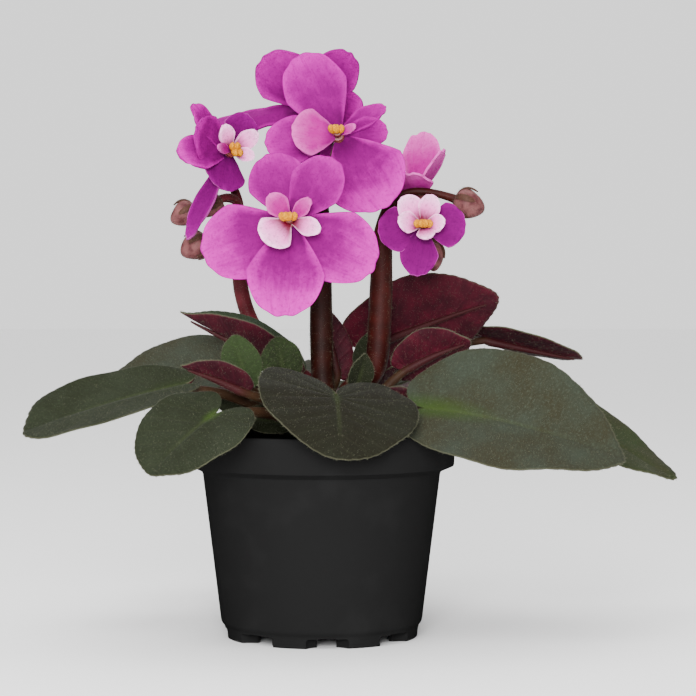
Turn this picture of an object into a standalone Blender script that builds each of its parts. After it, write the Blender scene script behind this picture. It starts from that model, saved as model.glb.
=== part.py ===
"""African violet in a small black nursery pot.

The pot stands on eight low feet and is filled with soil. A short crown stands in a hole in the
soil and carries the rosette of heart-shaped leaves and three flower stalks with blooms and buds.
Sizes and places are in millimetres from the pot's axis: x to the right, y to the back, z up.
"""
import math

import bmesh
import bpy
from mathutils import Matrix, Vector

MM = 0.001
GAP = 0.3                       # space left between pieces that touch

# Nursery pot
RIM_RADIUS = 35.0
RIM_TOP = 53.5
BAND_FOOT = 44.4                # lower edge of the upright rim band
BODY_TOP = 43.0
BODY_TOP_RADIUS = 31.0
BODY_FOOT_RADIUS = 26.3
FOOT_RADIUS = 25.2
FOOT_TOP = 3.0
WALL = 1.1
FLOOR = 3.2                     # underside of the floor, clear of the ground
FEET = 8
NOTCH_HEIGHT = 2.7
NOTCH_WIDTH = 5.0
NOTCH_TURN = -86.0              # degrees round the axis to the first notch

# Soil and crown
SOIL_TOP = 48.0
CROWN = Vector((3.0, 2.0, 0.0))
CROWN_RADIUS = 5.0
CROWN_FOOT = 42.0
CROWN_TOP = 62.0

# Leaves and petals
BLADE = 0.8                     # thickness of a leaf blade
TAPER = 0.35                    # how much a long blade narrows to its tip
OWN_TAPER = {"leaf_01": -0.5, "leaf_05": 0.5}   # one with a rounder tip, one more pointed
PETIOLE = 1.5                   # radius of a leaf stalk
PETAL = 0.7                     # thickness of a petal
TUBE_FRONT = 0.3                # a bloom's tube stands out this much before its throat
TUBE_BACK = 2.7                 # and goes back this far behind it
SEAT = 0.9                      # depth of the pale inner petals' seat
CUP = 2.4                       # depth of a calyx cup
PEDICEL = 1.3                   # radius of a bloom's thin stem
BUD_STEM = 1.0                  # radius of a bud's

# Each leaf: where the blade meets its stalk, its tip, width, roll, keel, arch, lobe,
# and where its stalk leaves the crown (degrees round it and height).
LEAVES = {
    "leaf_01": ((-35, -15, 66.5), (-74.5, -20, 54.8), 21.5, -29, 0.22, 1.0, 5, 196, 52.0),
    "leaf_02": ((-22, 7, 71.0), (-56, 11, 66.3), 28, -32, 0.10, 0.5, 6, 172, 55.5),
    "leaf_03": ((-26.5, -33, 59.5), (-41, -45, 46.0), 28, -22, 0.10, 1.0, 9.5, 234, 51.5),
    "leaf_04": ((4.0, -27.8, 63.6), (4.8, -44.8, 49.8), 41, -13, 0.06, 1.4, 18.4, 272, 52.3),
    "leaf_05": ((26.5, -19, 60.5), (75, -28, 48.5), 38, 48, 0.38, 3.0, 8, 318, 51.5),
    "leaf_06": ((40, 6, 67.5), (91, -3, 41.8), 25, 27, 0.10, 1.5, 6, 352, 52.0),
    "leaf_07": ((12, 16, 75.5), (46.5, 22, 87.5), 31, -62, 0.05, 1.0, 9, 50, 58.5),
    "leaf_08": ((45, 36, 77.8), (71.5, 36, 71.5), 15.5, -24, 0.05, 0.0, 5, 85, 55.0),
    "leaf_09": ((-7, -2.7, 69.8), (-35.5, -3.0, 84.0), 14, -4, 1.1, 0.3, 4, 170, 60.0),
    "leaf_10": ((-19, -14.5, 67.0), (-22.5, -13, 78.5), 10.5, 5, 0.1, 1.0, 2.5, 206, 59.5),
    "leaf_11": ((-9.5, -12, 68.0), (-11, -11.5, 78.0), 11, 0, 0.1, 1.0, 2.0, 236, 59.5),
    "leaf_12": ((-19, -22, 66.0), (-34, -27, 71.5), 10, 30, 0.40, 0.5, 2.5, 218, 56.5),
    "leaf_13": ((4, 9, 68), (0.5, 7.5, 85.0), 11, 180, 0.1, 0.5, 3, 115, 58.5),
    "leaf_14": ((22, -2, 70.5), (38, -6, 77.0), 16, -50, 0.15, 1.0, 4, 338, 57.0),
    "leaf_15": ((-14, 32, 66.0), (-30, 62, 57.0), 34, -8, 0.15, 3.0, 9, 127, 52.0),
    "leaf_16": ((12, 36, 64.0), (16, 73, 54.0), 36, 0, 0.15, 2.8, 10, 97, 51.5),
    "leaf_17": ((42, 28, 61.5), (74, 42, 52.0), 32, 8, 0.15, 3.0, 8, 32, 52.0),
    "leaf_18": ((-38, 16, 62.5), (-69, 32, 54.0), 30, -10, 0.15, 3.0, 7, 158, 52.0),
}

# Each flower stalk: its points from the crown up, with the radius at each.
STALKS = {
    "left": [((-0.5, 4.6, 62.7), 1.6), ((-1.5, 5.2, 65), 1.8), ((-8, 7, 70), 1.9), ((-17, 8, 79), 2.0),
             ((-21.3, 8, 90), 2.0), ((-21.7, 6, 104), 1.9), ((-21.5, 4, 112), 1.7)],
    "centre": [((1.2, -0.3, 62.8), 2.4), ((0.2, 0.5, 68), 2.9), ((-0.1, 0, 80), 3.0),
               ((-0.1, 0, 92), 2.8), ((0, 2, 104), 2.3), ((0, 4, 112), 1.9)],
    "right": [((5.6, 3.0, 63.6), 1.7), ((7.6, 3.0, 64.8), 2.2), ((12.2, 2.6, 67), 2.7), ((14.6, 2, 73), 3.0),
              ((15.5, 1, 90), 3.0), ((16, 0, 104), 2.6), ((18, 0, 112), 1.9)],
}

# Each bloom: its stalk, its throat, the way it faces, its petals, its pale inner petals and
# its yellow anthers. A petal is its angle round the throat, length, width, lift, curve, twist.
BLOOMS = {
    "front": ("centre", (-7.5, -27, 107.5), (-0.05, -1, 0.12),
              [(108, 18, 15, 1, -1, 0), (54, 19, 14, 2, -1, 0), (202, 23.5, 20, 0.5, -2, 0),
               (266, 24, 20, 2, -1, 0), (332, 24, 19, 0.5, -2, 0)],
              [(226, 8.5, 10, 5, 0, 0), (338, 8.5, 5, 4, 0, 0), (130, 7.5, 6, 4, 1, 0),
               (40, 7, 4, 4, 1, 0)],
              [(160, 3.8), (30, 3.2)]),
    "top": ("centre", (4.3, -9, 129.6), (-0.05, -1, 0.25),
            [(115, 24, 17, 3, -1, 0), (8, 13, 9, 2, -3, 35), (36, 15, 7, 2, -3, -25),
             (184, 19, 13, 1, -1, 0), (304, 22.5, 22, 2, -1, 0)],
            [(180, 11.5, 14, 4, 1, 15), (20, 5, 2.5, 3, 0, 0)],
            [(150, 3.4), (50, 2.8)]),
    "rear": ("centre", (-2.6, 6, 138), (0.05, 0.9, 0.4),
             [(50, 19, 16, 1, -1, 0), (124, 19, 13, 1, -2, 0), (-11, 31, 9, 0, 0, 70),
              (262, 16, 15, 1, -1, 0), (190, 14, 14, 1, -1, 0)],
             [(90, 6, 5, 3, 0, 0), (210, 6, 5, 3, 0, 0), (305, 5, 4, 3, 0, 0)],
             [(110, 3.0), (40, 3.0)]),
    "left": ("left", (-23.8, -5, 126), (0.5, -0.85, 0.1),
             [(184, 16.5, 11, 1, 3, 30), (134, 16, 9, 0, 3, 30), (160, 13, 13, 1, 6, 0),
              (250, 11, 12, 2, 1, 0), (238, 27, 5, 0, 2, 40), (60, 11, 10, 2, 0, 0)],
             [(118, 7, 5, 3, 0, 0), (35, 8, 5, 3, 0, 0), (340, 5.5, 4, 3, 0, 0),
              (178, 6, 3, 4.6, 0, 0)],
             [(150, 3.6), (250, 4.0)]),
    "low": ("right", (26.0, -12, 106.5), (0.0, -0.97, 0.2),
            [(188, 11.5, 12, 1, 0, 0), (2, 11, 12, 1, 0, 0), (262, 13, 10, 1, -1, 0)],
            [(130, 8.5, 7, 4, 0, 0), (70, 7.5, 6, 4, 0, 0), (175, 6.5, 6, 4, 0, 0),
             (0, 5.5, 5, 4, 0, 0), (285, 4.5, 5, 4, 0, 0)],
            [(205, 4.0), (335, 3.8)]),
    "high": ("right", (25.5, 6.5, 115.5), (-0.1, -0.3, 0.94),
             [(90, 9.5, 11, 14, 1, 0), (190, 8, 10, 9, 2, 0), (350, 8, 11, 11, 2, 0),
              (270, 9, 12, 7, 2, 0)],
             [], []),
}

# Each bud: its stalk, where the bud's foot is, the way it points, its length and radius.
BUDS = [
    ("right", (34.5, 0, 114.0), (0.9, 0, -0.35), 8.5, 3.8),
    ("right", (28.5, -1, 103), (0.1, 0, -1), 8, 3.0),
    ("left", (-26, -2, 114), (-0.75, -0.1, -0.5), 7.5, 3.0),
    ("left", (-33, 2, 112), (-0.8, 0, -0.5), 7.5, 3.2),
    ("left", (-29.5, -3, 103.5), (-0.8, -0.1, -0.5), 8, 3.6),
]


def metres(x, y, z):
    """A point given in millimetres, in metres."""
    return Vector((x, y, z)) * MM


def painted(name, colour, roughness):
    """A plain finish."""
    material = bpy.data.materials.new(name)
    material.use_nodes = True
    shader = material.node_tree.nodes["Principled BSDF"]
    shader.inputs["Base Color"].default_value = (*colour, 1)
    shader.inputs["Roughness"].default_value = roughness
    shader.inputs["Metallic"].default_value = 0.0
    material.diffuse_color = (*colour, 1)
    return material


def added(name, mesh):
    """A new object in the plant's collection."""
    item = bpy.data.objects.new(name, mesh)
    plant.objects.link(item)
    return item


def from_bmesh(name, shape):
    mesh = bpy.data.meshes.new(name)
    shape.to_mesh(mesh)
    shape.free()
    return added(name, mesh)


def baked(item):
    """The same object with its modifiers, or its curve, made plain mesh."""
    bpy.context.view_layer.update()
    ready = item.evaluated_get(bpy.context.evaluated_depsgraph_get())
    mesh = bpy.data.meshes.new_from_object(ready)
    mesh.transform(item.matrix_world)
    shape = bmesh.new()
    shape.from_mesh(mesh)
    bmesh.ops.remove_doubles(shape, verts=shape.verts, dist=1e-6)
    shape.to_mesh(mesh)
    shape.free()
    name = item.name
    bpy.data.objects.remove(item)
    plain = added(name, mesh)
    plain.name = name
    return plain


def joined(name, pieces, material):
    """Overlapping closed pieces as one body. The exact solver loses a leaf's thin blade."""
    body = pieces[0]
    if len(pieces) > 1:
        others = bpy.data.collections.new(name + "_others")
        bpy.context.scene.collection.children.link(others)
        for piece in pieces[1:]:
            plant.objects.unlink(piece)
            others.objects.link(piece)
        union = body.modifiers.new("union", "BOOLEAN")
        union.operation = "UNION"
        union.solver = "MANIFOLD"
        union.operand_type = "COLLECTION"
        union.collection = others
        body = baked(body)
        for piece in list(others.objects):
            bpy.data.objects.remove(piece)
        bpy.data.collections.remove(others)
    body.name = name
    body.data.name = name
    body.data.materials.clear()
    body.data.materials.append(material)
    return body


def turned(name, profile, segments):
    """A solid of revolution round the pot's axis; the profile runs down its outer side."""
    mesh = bpy.data.meshes.new(name)
    points = [(radius * MM, 0, height * MM) for radius, height in profile]
    mesh.from_pydata(points, [(i, i + 1) for i in range(len(points) - 1)], [])
    item = added(name, mesh)
    screw = item.modifiers.new("turn", "SCREW")
    screw.steps = segments
    screw.render_steps = segments
    screw.use_merge_vertices = True
    screw.merge_threshold = 1e-5
    return baked(item)


def tube(name, points, radii, resolution):
    """A round stem through the points, with a radius at each."""
    curve = bpy.data.curves.new(name, "CURVE")
    curve.dimensions = "3D"
    curve.bevel_depth = MM
    curve.bevel_resolution = resolution
    curve.use_fill_caps = True
    spline = curve.splines.new("POLY")
    spline.points.add(len(points) - 1)
    for node, point, radius in zip(spline.points, points, radii):
        node.co = (*metres(*point), 1)
        node.radius = radius
    return baked(added(name, curve))


def bent(start, leaving, arriving, end, count):
    """Points along a smooth stem from start to end, with its two end directions."""
    start, end = Vector(start), Vector(end)
    reach = 0.4 * (end - start).length
    first = start + Vector(leaving).normalized() * reach
    last = end - Vector(arriving).normalized() * reach
    points = []
    for i in range(count):
        t = i / (count - 1)
        s = 1 - t
        points.append(s**3 * start + 3 * s * s * t * first + 3 * s * t * t * last + t**3 * end)
    return points


def thickened(item, thickness):
    """A closed blade from an open sheet, its upper face kept where it is."""
    wall = item.modifiers.new("wall", "SOLIDIFY")
    wall.thickness = thickness * MM
    wall.offset = -1
    wall.use_even_offset = False
    return baked(item)


def sheet(name, columns, rows, place):
    """An open triangulated sheet: place turns u and v, each from -1 to 1, into a point."""
    shape = bmesh.new()
    bmesh.ops.create_grid(shape, x_segments=columns, y_segments=rows, size=1)
    for vertex in shape.verts:
        vertex.co = metres(*place(vertex.co.x, vertex.co.y))
    bmesh.ops.remove_doubles(shape, verts=shape.verts, dist=1e-6)
    bmesh.ops.dissolve_degenerate(shape, edges=shape.edges, dist=1e-7)
    bmesh.ops.triangulate(shape, faces=shape.faces, quad_method="SHORT_EDGE")
    return from_bmesh(name, shape)


def heart(turn, length, width, lobe, taper):
    """A point on a leaf's edge, turn from -pi to pi with 0 at the tip: across and along."""
    middle = (length - lobe) / 2
    across = width / 2 * math.sin(turn)
    along = middle + (length + lobe) / 2 * math.cos(turn)
    from_sinus = math.pi - abs(math.atan2(across, along))
    notch = 1 - 0.92 * math.exp(-((from_sinus / 0.42) ** 2))
    point = 1 + 0.03 * math.exp(-((turn / 0.3) ** 2))
    slimness = min(1, max(0, length / width - 0.5))
    narrowed = 1 - taper * slimness * max(0, along / length) ** 3
    return across * notch * narrowed, along * notch * point


def leaf(name, junction, tip, width, roll, keel, arch, lobe, azimuth, root, material):
    """One heart-shaped blade with its stalk, which goes on under it as the midrib."""
    junction, tip = Vector(junction), Vector(tip)
    along = tip - junction
    length = along.length
    along.normalize()
    top = Vector((0, -1, 0)) if along.z > 0.8 else Vector((0, 0, 1))
    top = (top - along * top.dot(along)).normalized()
    top.rotate(Matrix.Rotation(math.radians(roll), 3, along))
    side = along.cross(top)
    half = width / 2

    def surface(x, y):
        fold = keel * half * (math.hypot(x / half, 0.2) - 0.2)
        rise = 4 * arch * (y / length) * (1 - y / length)
        return junction + side * x + along * y + top * (fold + rise)

    def place(u, v):
        reach = (1 - v) / 2
        x, y = heart(-u * 0.985 * math.pi, length, width, lobe, OWN_TAPER.get(name, TAPER))
        return surface(x * reach, y * reach)

    blade = thickened(sheet(name + "_blade", 16, 3, place), BLADE)
    turn = math.radians(azimuth)
    out = Vector((math.cos(turn), math.sin(turn), 0))
    start = CROWN + out * (CROWN_RADIUS + GAP + 0.9) + Vector((0, 0, root))
    under = surface(0, 0) - top * (BLADE * 0.5 + PETIOLE * 0.3)
    straight = (under - start).normalized()
    stem = bent(start, out + Vector((0, 0, 0.5)), along + straight, under, 6)
    radii = [PETIOLE] * 5 + [PETIOLE * 0.7]
    stalk = tube(name + "_stalk", stem, radii, 1)
    return joined(name, [blade, stalk], material)


def petal(name, throat, facing, angle, length, width, lift, curve, twist, cells):
    """One rounded petal, narrow at the throat; lift and curve bring its end forward."""
    ahead = Vector(facing).normalized()
    right = Vector((0, 0, 1)).cross(ahead).normalized()
    up = ahead.cross(right)
    turn = math.radians(angle)
    out = right * math.cos(turn) + up * math.sin(turn)
    around = out.cross(ahead)
    throat = Vector(throat)

    def place(u, v):
        across = u * math.sqrt(1 - v * v / 2)
        along = (1 + v * math.sqrt(1 - u * u / 2)) / 2
        claw = 0.35 + 0.65 * min(1, along / 0.55)
        sideways = across * claw * width / 2
        cup = 0.06 * length * across * across * along
        turned_by = math.radians(twist) * min(1, along / 0.4)
        return (throat + out * (along * length) + ahead * (lift * along + curve * along * along)
                + around * (sideways * math.cos(turned_by) + cup * math.sin(turned_by))
                + ahead * (cup * math.cos(turned_by) - sideways * math.sin(turned_by)))

    return thickened(sheet(name, cells, cells, place), PETAL)


def button(name, centre, facing, radius, depth, sides):
    """A short round plug, its front face at the centre given."""
    shape = bmesh.new()
    bmesh.ops.create_cone(shape, cap_ends=True, segments=sides, radius1=radius * MM,
                          radius2=radius * MM, depth=depth * MM)
    ahead = Vector(facing).normalized()
    turn = ahead.to_track_quat("Z", "Y").to_matrix().to_4x4()
    centre = metres(*(Vector(centre) - ahead * depth / 2))
    shape.transform(Matrix.Translation(centre) @ turn)
    return from_bmesh(name, shape)


def egg(name, foot, pointing, length, radius, rounds=2):
    """A bud: an egg shape from its foot."""
    shape = bmesh.new()
    bmesh.ops.create_icosphere(shape, subdivisions=rounds, radius=1)
    for vertex in shape.verts:
        slim = 1 - 0.25 * vertex.co.z
        vertex.co.x *= radius * slim * MM
        vertex.co.y *= radius * slim * MM
        vertex.co.z = (vertex.co.z + 1) * length / 2 * MM
    turn = Vector(pointing).normalized().to_track_quat("Z", "Y").to_matrix().to_4x4()
    shape.transform(Matrix.Translation(metres(*foot)) @ turn)
    return from_bmesh(name, shape)


def bloom(name, throat, facing, petals, inner, anthers):
    """A bloom's purple petals, its pale inner petals and its yellow anthers, each one body."""
    ahead = Vector(facing).normalized()
    throat = Vector(throat)
    pieces = [button("tube", throat + ahead * TUBE_FRONT, facing, 1.8, TUBE_FRONT + TUBE_BACK, 10)]
    for i, shape in enumerate(petals):
        cells = 4 if 30 > shape[1] > 18.2 else 3
        pieces.append(petal("petal_%d" % i, throat, facing, *shape, cells))
    joined("bloom_" + name + "_petals", pieces, petal_purple)
    if inner:
        seat = throat + ahead * (TUBE_FRONT + GAP + SEAT)
        pieces = [button("seat", seat, facing, 1.7, SEAT, 10)]
        for i, shape in enumerate(inner):
            pieces.append(petal("inner_%d" % i, seat - ahead * 0.2, facing, *shape, 3))
        joined("bloom_" + name + "_inner", pieces, petal_pale)
    if anthers:
        seat = throat + ahead * (TUBE_FRONT + GAP + SEAT + GAP + 2.0)
        pieces = [button("stub", seat, facing, 1.1, 1.6, 8)]
        right = Vector((0, 0, 1)).cross(ahead).normalized()
        up = ahead.cross(right)
        for i, (angle, size) in enumerate(anthers):
            turn = math.radians(angle)
            out = right * math.cos(turn) + up * math.sin(turn)
            pieces.append(egg("anther_%d" % i, seat - ahead * 0.4, out * 0.6 + ahead, size,
                              1.2, 1))
        joined("bloom_" + name + "_anthers", pieces, anther_yellow)


def calyx(name, throat, facing):
    """The green-brown cup and its five narrow sepals behind a bloom."""
    ahead = Vector(facing).normalized()
    seat = Vector(throat) - ahead * (TUBE_BACK + GAP)
    pieces = [button(name + "_cup", seat, facing, 1.9, CUP, 8)]
    for i in range(5):
        pieces.append(petal(name + "_sepal_%d" % i, seat - ahead * 0.9, facing, 36 + 72 * i,
                            5.5, 2.2, 0.3, -1.0, 0, 2))
    return pieces


def flower_stalk(name):
    """A flower stalk with the thin stems, calyxes and buds that it carries, as one body."""
    points = [point for point, radius in STALKS[name]]
    radii = [radius for point, radius in STALKS[name]]
    pieces = [tube("stalk", points, radii, 2)]
    fork = Vector(points[-1])
    rising = fork - Vector(points[-2])
    for bloom_name, (stalk, throat, facing, petals, inner, anthers) in BLOOMS.items():
        if stalk == name:
            ahead = Vector(facing).normalized()
            end = Vector(throat) - ahead * (TUBE_BACK + GAP + CUP - 0.6)
            path = bent(fork - rising.normalized(), rising, ahead, end, 6)
            pieces.append(tube("stem", path, [PEDICEL] * 6, 1))
            pieces += calyx(bloom_name, throat, facing)
    for i, (stalk, foot, pointing, length, radius) in enumerate(BUDS):
        if stalk == name:
            end = Vector(foot) + Vector(pointing).normalized()
            path = bent(fork - rising.normalized(), rising, pointing, end, 6)
            pieces.append(tube("stem", path, [BUD_STEM] * 6, 1))
            pieces.append(egg("bud_%d" % i, foot, pointing, length, radius))
    joined("stalk_" + name, pieces, stem_brown)


for item in list(bpy.data.objects):
    bpy.data.objects.remove(item)
plant = bpy.data.collections.new("potted_african_violet")
bpy.context.scene.collection.children.link(plant)

black_plastic = painted("black_plastic", (0.02, 0.02, 0.02), 0.45)
potting_soil = painted("potting_soil", (0.05, 0.035, 0.025), 0.95)
leaf_green = painted("leaf_green", (0.09, 0.11, 0.06), 0.8)
stem_brown = painted("stem_brown", (0.14, 0.06, 0.04), 0.7)
petal_purple = painted("petal_purple", (0.55, 0.03, 0.48), 0.6)
petal_pale = painted("petal_pale", (0.85, 0.6, 0.8), 0.6)
anther_yellow = painted("anther_yellow", (0.85, 0.55, 0.03), 0.6)

# The pot: down the inside, over the rim, down the outside and under the feet
inside = BODY_FOOT_RADIUS - WALL
pot = turned("pot", [
    (0, FLOOR + WALL), (inside - 0.6, FLOOR + WALL), (inside, FLOOR + WALL + 1),
    (BODY_TOP_RADIUS - WALL, BODY_TOP + 0.6), (RIM_RADIUS - WALL - 0.4, BAND_FOOT + 0.8),
    (RIM_RADIUS - WALL, RIM_TOP - 0.4), (RIM_RADIUS - WALL / 2, RIM_TOP),
    (RIM_RADIUS, RIM_TOP - 0.5), (RIM_RADIUS - 0.3, BAND_FOOT + 0.8), (RIM_RADIUS - 0.9, BAND_FOOT),
    (BODY_TOP_RADIUS + 0.2, BODY_TOP), (BODY_TOP_RADIUS - 0.1, BODY_TOP - 0.8),
    (BODY_FOOT_RADIUS, FOOT_TOP + 1.1), (FOOT_RADIUS + 0.5, FOOT_TOP + 0.3),
    (FOOT_RADIUS + 0.1, FOOT_TOP - 0.2), (FOOT_RADIUS, 0), (FOOT_RADIUS - 4.2, 0),
    (FOOT_RADIUS - 4.6, FLOOR), (0, FLOOR)], 36)
cutters = bpy.data.collections.new("cutters")
bpy.context.scene.collection.children.link(cutters)
for i in range(FEET):
    turn = Matrix.Rotation(math.radians(NOTCH_TURN + 360 / FEET * i), 4, "Z")
    shape = bmesh.new()
    bmesh.ops.create_cube(shape, size=1)
    shape.transform(Matrix.Diagonal((12 * MM, NOTCH_WIDTH * MM, 2 * NOTCH_HEIGHT * MM, 1)))
    shape.transform(turn @ Matrix.Translation(((FOOT_RADIUS - 1) * MM, 0, 0)))
    slot = from_bmesh("slot_%d" % i, shape)
    shape = bmesh.new()
    bmesh.ops.create_cone(shape, cap_ends=True, segments=12, radius1=6 * MM, radius2=6 * MM,
                          depth=2 * (NOTCH_HEIGHT - 0.2) * MM)
    shape.transform(turn @ Matrix.Translation(((FOOT_RADIUS + 2) * MM, 0, 0)))
    scoop = from_bmesh("scoop_%d" % i, shape)
    for cutter in (slot, scoop):
        plant.objects.unlink(cutter)
        cutters.objects.link(cutter)
cut = pot.modifiers.new("notches", "BOOLEAN")
cut.operation = "DIFFERENCE"
cut.solver = "EXACT"
cut.operand_type = "COLLECTION"
cut.collection = cutters
pot = baked(pot)
for cutter in list(cutters.objects):
    bpy.data.objects.remove(cutter)
joined("pot", [pot], black_plastic)

# The soil fills the pot and has a hole where the crown stands
soil = turned("soil", [
    (0, SOIL_TOP), (8, SOIL_TOP + 0.4), (16, SOIL_TOP), (24, SOIL_TOP - 0.6),
    (RIM_RADIUS - WALL - 0.4 - 2 * GAP, SOIL_TOP - 1.2),
    (RIM_RADIUS - WALL - 0.4 - 2 * GAP, BAND_FOOT + 1.4),
    (BODY_TOP_RADIUS - WALL - GAP, BODY_TOP + 0.9), (inside - GAP, FLOOR + WALL + 1.2),
    (inside - GAP - 0.6, FLOOR + WALL + GAP), (0, FLOOR + WALL + GAP)], 28)
shape = bmesh.new()
bmesh.ops.create_cone(shape, cap_ends=True, segments=16, radius1=(CROWN_RADIUS + 2 * GAP) * MM,
                      radius2=(CROWN_RADIUS + 2 * GAP) * MM, depth=2 * (SOIL_TOP - CROWN_FOOT) * MM)
shape.transform(Matrix.Translation(metres(CROWN.x, CROWN.y, SOIL_TOP)))
hole = from_bmesh("crown_hole", shape)
plant.objects.unlink(hole)
cutters.objects.link(hole)
cut = soil.modifiers.new("hole", "BOOLEAN")
cut.operation = "DIFFERENCE"
cut.solver = "EXACT"
cut.object = hole
soil = baked(soil)
bpy.data.objects.remove(hole)
joined("soil", [soil], potting_soil)

crown_height = CROWN_TOP - CROWN_FOOT - GAP
crown = button("crown", CROWN + Vector((0, 0, CROWN_TOP)), (0, 0, 1), CROWN_RADIUS, crown_height, 16)
joined("crown", [crown], stem_brown)

for name, (junction, tip, width, roll, keel, arch, lobe, azimuth, root) in LEAVES.items():
    leaf(name, junction, tip, width, roll, keel, arch, lobe, azimuth, root, leaf_green)

for name in STALKS:
    flower_stalk(name)

for name, (stalk, throat, facing, petals, inner, anthers) in BLOOMS.items():
    bloom(name, throat, facing, petals, inner, anthers)

# The origin is under the middle of the whole plant's box
corners = [vertex.co for item in plant.objects for vertex in item.data.vertices]
middle_x = (min(c.x for c in corners) + max(c.x for c in corners)) / 2
middle_y = (min(c.y for c in corners) + max(c.y for c in corners)) / 2
for item in plant.objects:
    item.data.transform(Matrix.Translation((-middle_x, -middle_y, 0)))
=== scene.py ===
import math
import random

import bmesh
import bpy
import numpy
from mathutils import Matrix, Vector, noise


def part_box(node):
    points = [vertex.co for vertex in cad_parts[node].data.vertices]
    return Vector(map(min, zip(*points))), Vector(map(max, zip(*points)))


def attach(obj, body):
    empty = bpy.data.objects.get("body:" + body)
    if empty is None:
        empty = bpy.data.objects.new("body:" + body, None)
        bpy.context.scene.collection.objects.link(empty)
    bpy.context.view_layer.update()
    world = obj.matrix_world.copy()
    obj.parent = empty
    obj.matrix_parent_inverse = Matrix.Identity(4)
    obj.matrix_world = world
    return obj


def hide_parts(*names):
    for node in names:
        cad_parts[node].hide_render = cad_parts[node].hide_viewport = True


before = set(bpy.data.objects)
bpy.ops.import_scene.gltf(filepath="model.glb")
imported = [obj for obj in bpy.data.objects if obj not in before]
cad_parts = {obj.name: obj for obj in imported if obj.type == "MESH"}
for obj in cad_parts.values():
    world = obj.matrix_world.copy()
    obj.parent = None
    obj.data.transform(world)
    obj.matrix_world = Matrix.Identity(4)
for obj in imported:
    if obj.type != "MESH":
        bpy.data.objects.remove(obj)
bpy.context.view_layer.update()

# ---------------------------------------------------------------------------------------------
# Nursery pot: one thin black polypropylene moulding with an upright rim band, a step under it,
# a tapered body and a foot ring cut into eight low feet so that water can run out under it.
# It stands on its feet, and everything else is measured in millimetres from its axis.
MM = 0.001
pot_low, pot_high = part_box("pot")
AXIS = Vector(((pot_low[0] + pot_high[0]) / 2, (pot_low[1] + pot_high[1]) / 2, 0))
RIM_RADIUS = 35.0
RIM_TOP = 53.5
BAND_FOOT = 44.4
BODY_TOP = 43.0
BODY_TOP_RADIUS = 31.0
BODY_FOOT_RADIUS = 26.3
FOOT_RADIUS = 25.2
POT_WALL = 1.1
POT_FLOOR = 3.2
POT_SEGMENTS = 160
FEET = 8
FIRST_NOTCH = -86.0
NOTCH_WIDTH = 5.0
NOTCH_HEIGHT = 2.7
NOTCH_LENGTH = 12.0
SCOOP_RADIUS = 6.0


def at(x, y, z):
    """A place in millimetres from the pot's axis, in the plant's own frame."""
    return AXIS + Vector((x, y, z)) * MM


def start_fresh():
    bpy.ops.object.select_all(action="DESELECT")


def pick(piece):
    """Selects one piece alone and makes it the active one."""
    start_fresh()
    piece.select_set(True)
    bpy.context.view_layer.objects.active = piece


def shown(piece, name, slot, *nodes):
    """Puts a finished piece in the plant: its name and what it rides on. The slot, what it stands for, is
    not used.
    """
    pick(piece)
    bpy.ops.object.transform_apply(location=True, rotation=True, scale=True)
    piece.name = name
    piece.data.name = name
    if nodes:
        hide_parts(*nodes)
    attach(piece, "root")
    start_fresh()


def applied(piece):
    """Applies all of a piece's modifiers, in order."""
    pick(piece)
    for modifier in list(piece.modifiers):
        bpy.ops.object.modifier_apply(modifier=modifier.name)


def rounded(piece, radius):
    """Rounds all of a piece's edges, by a radius in millimetres."""
    bevel = piece.modifiers.new("rounded", "BEVEL")
    bevel.width = radius * MM
    bevel.segments = 4
    applied(piece)


def one_piece(parts):
    """Several parts in one mesh."""
    start_fresh()
    for part in parts:
        part.select_set(True)
    bpy.context.view_layer.objects.active = parts[0]
    if len(parts) > 1:
        bpy.ops.object.join()
    return parts[0]


def lathe(profile, segments):
    """A closed turned form: rings drawn out of a filled circle, one for each radius and height."""
    start_fresh()
    radius, height = profile[0]
    bpy.ops.mesh.primitive_circle_add(vertices=segments, radius=radius * MM, fill_type="NGON",
                                      location=at(0, 0, height))
    form = bpy.context.active_object
    bpy.ops.object.mode_set(mode="EDIT")
    bpy.ops.mesh.select_mode(type="EDGE")
    bpy.ops.mesh.select_all(action="SELECT")
    for next_radius, next_height in profile[1:]:
        rise = (next_height - height) * MM
        bpy.ops.mesh.extrude_edges_move(TRANSFORM_OT_translate={"value": (0, 0, rise)})
        bpy.ops.transform.resize(value=(next_radius / radius, next_radius / radius, 1))
        radius, height = next_radius, next_height
    bpy.ops.mesh.edge_face_add()
    bpy.ops.mesh.select_all(action="SELECT")
    bpy.ops.mesh.normals_make_consistent(inside=False)
    bpy.ops.object.mode_set(mode="OBJECT")
    return form


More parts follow.
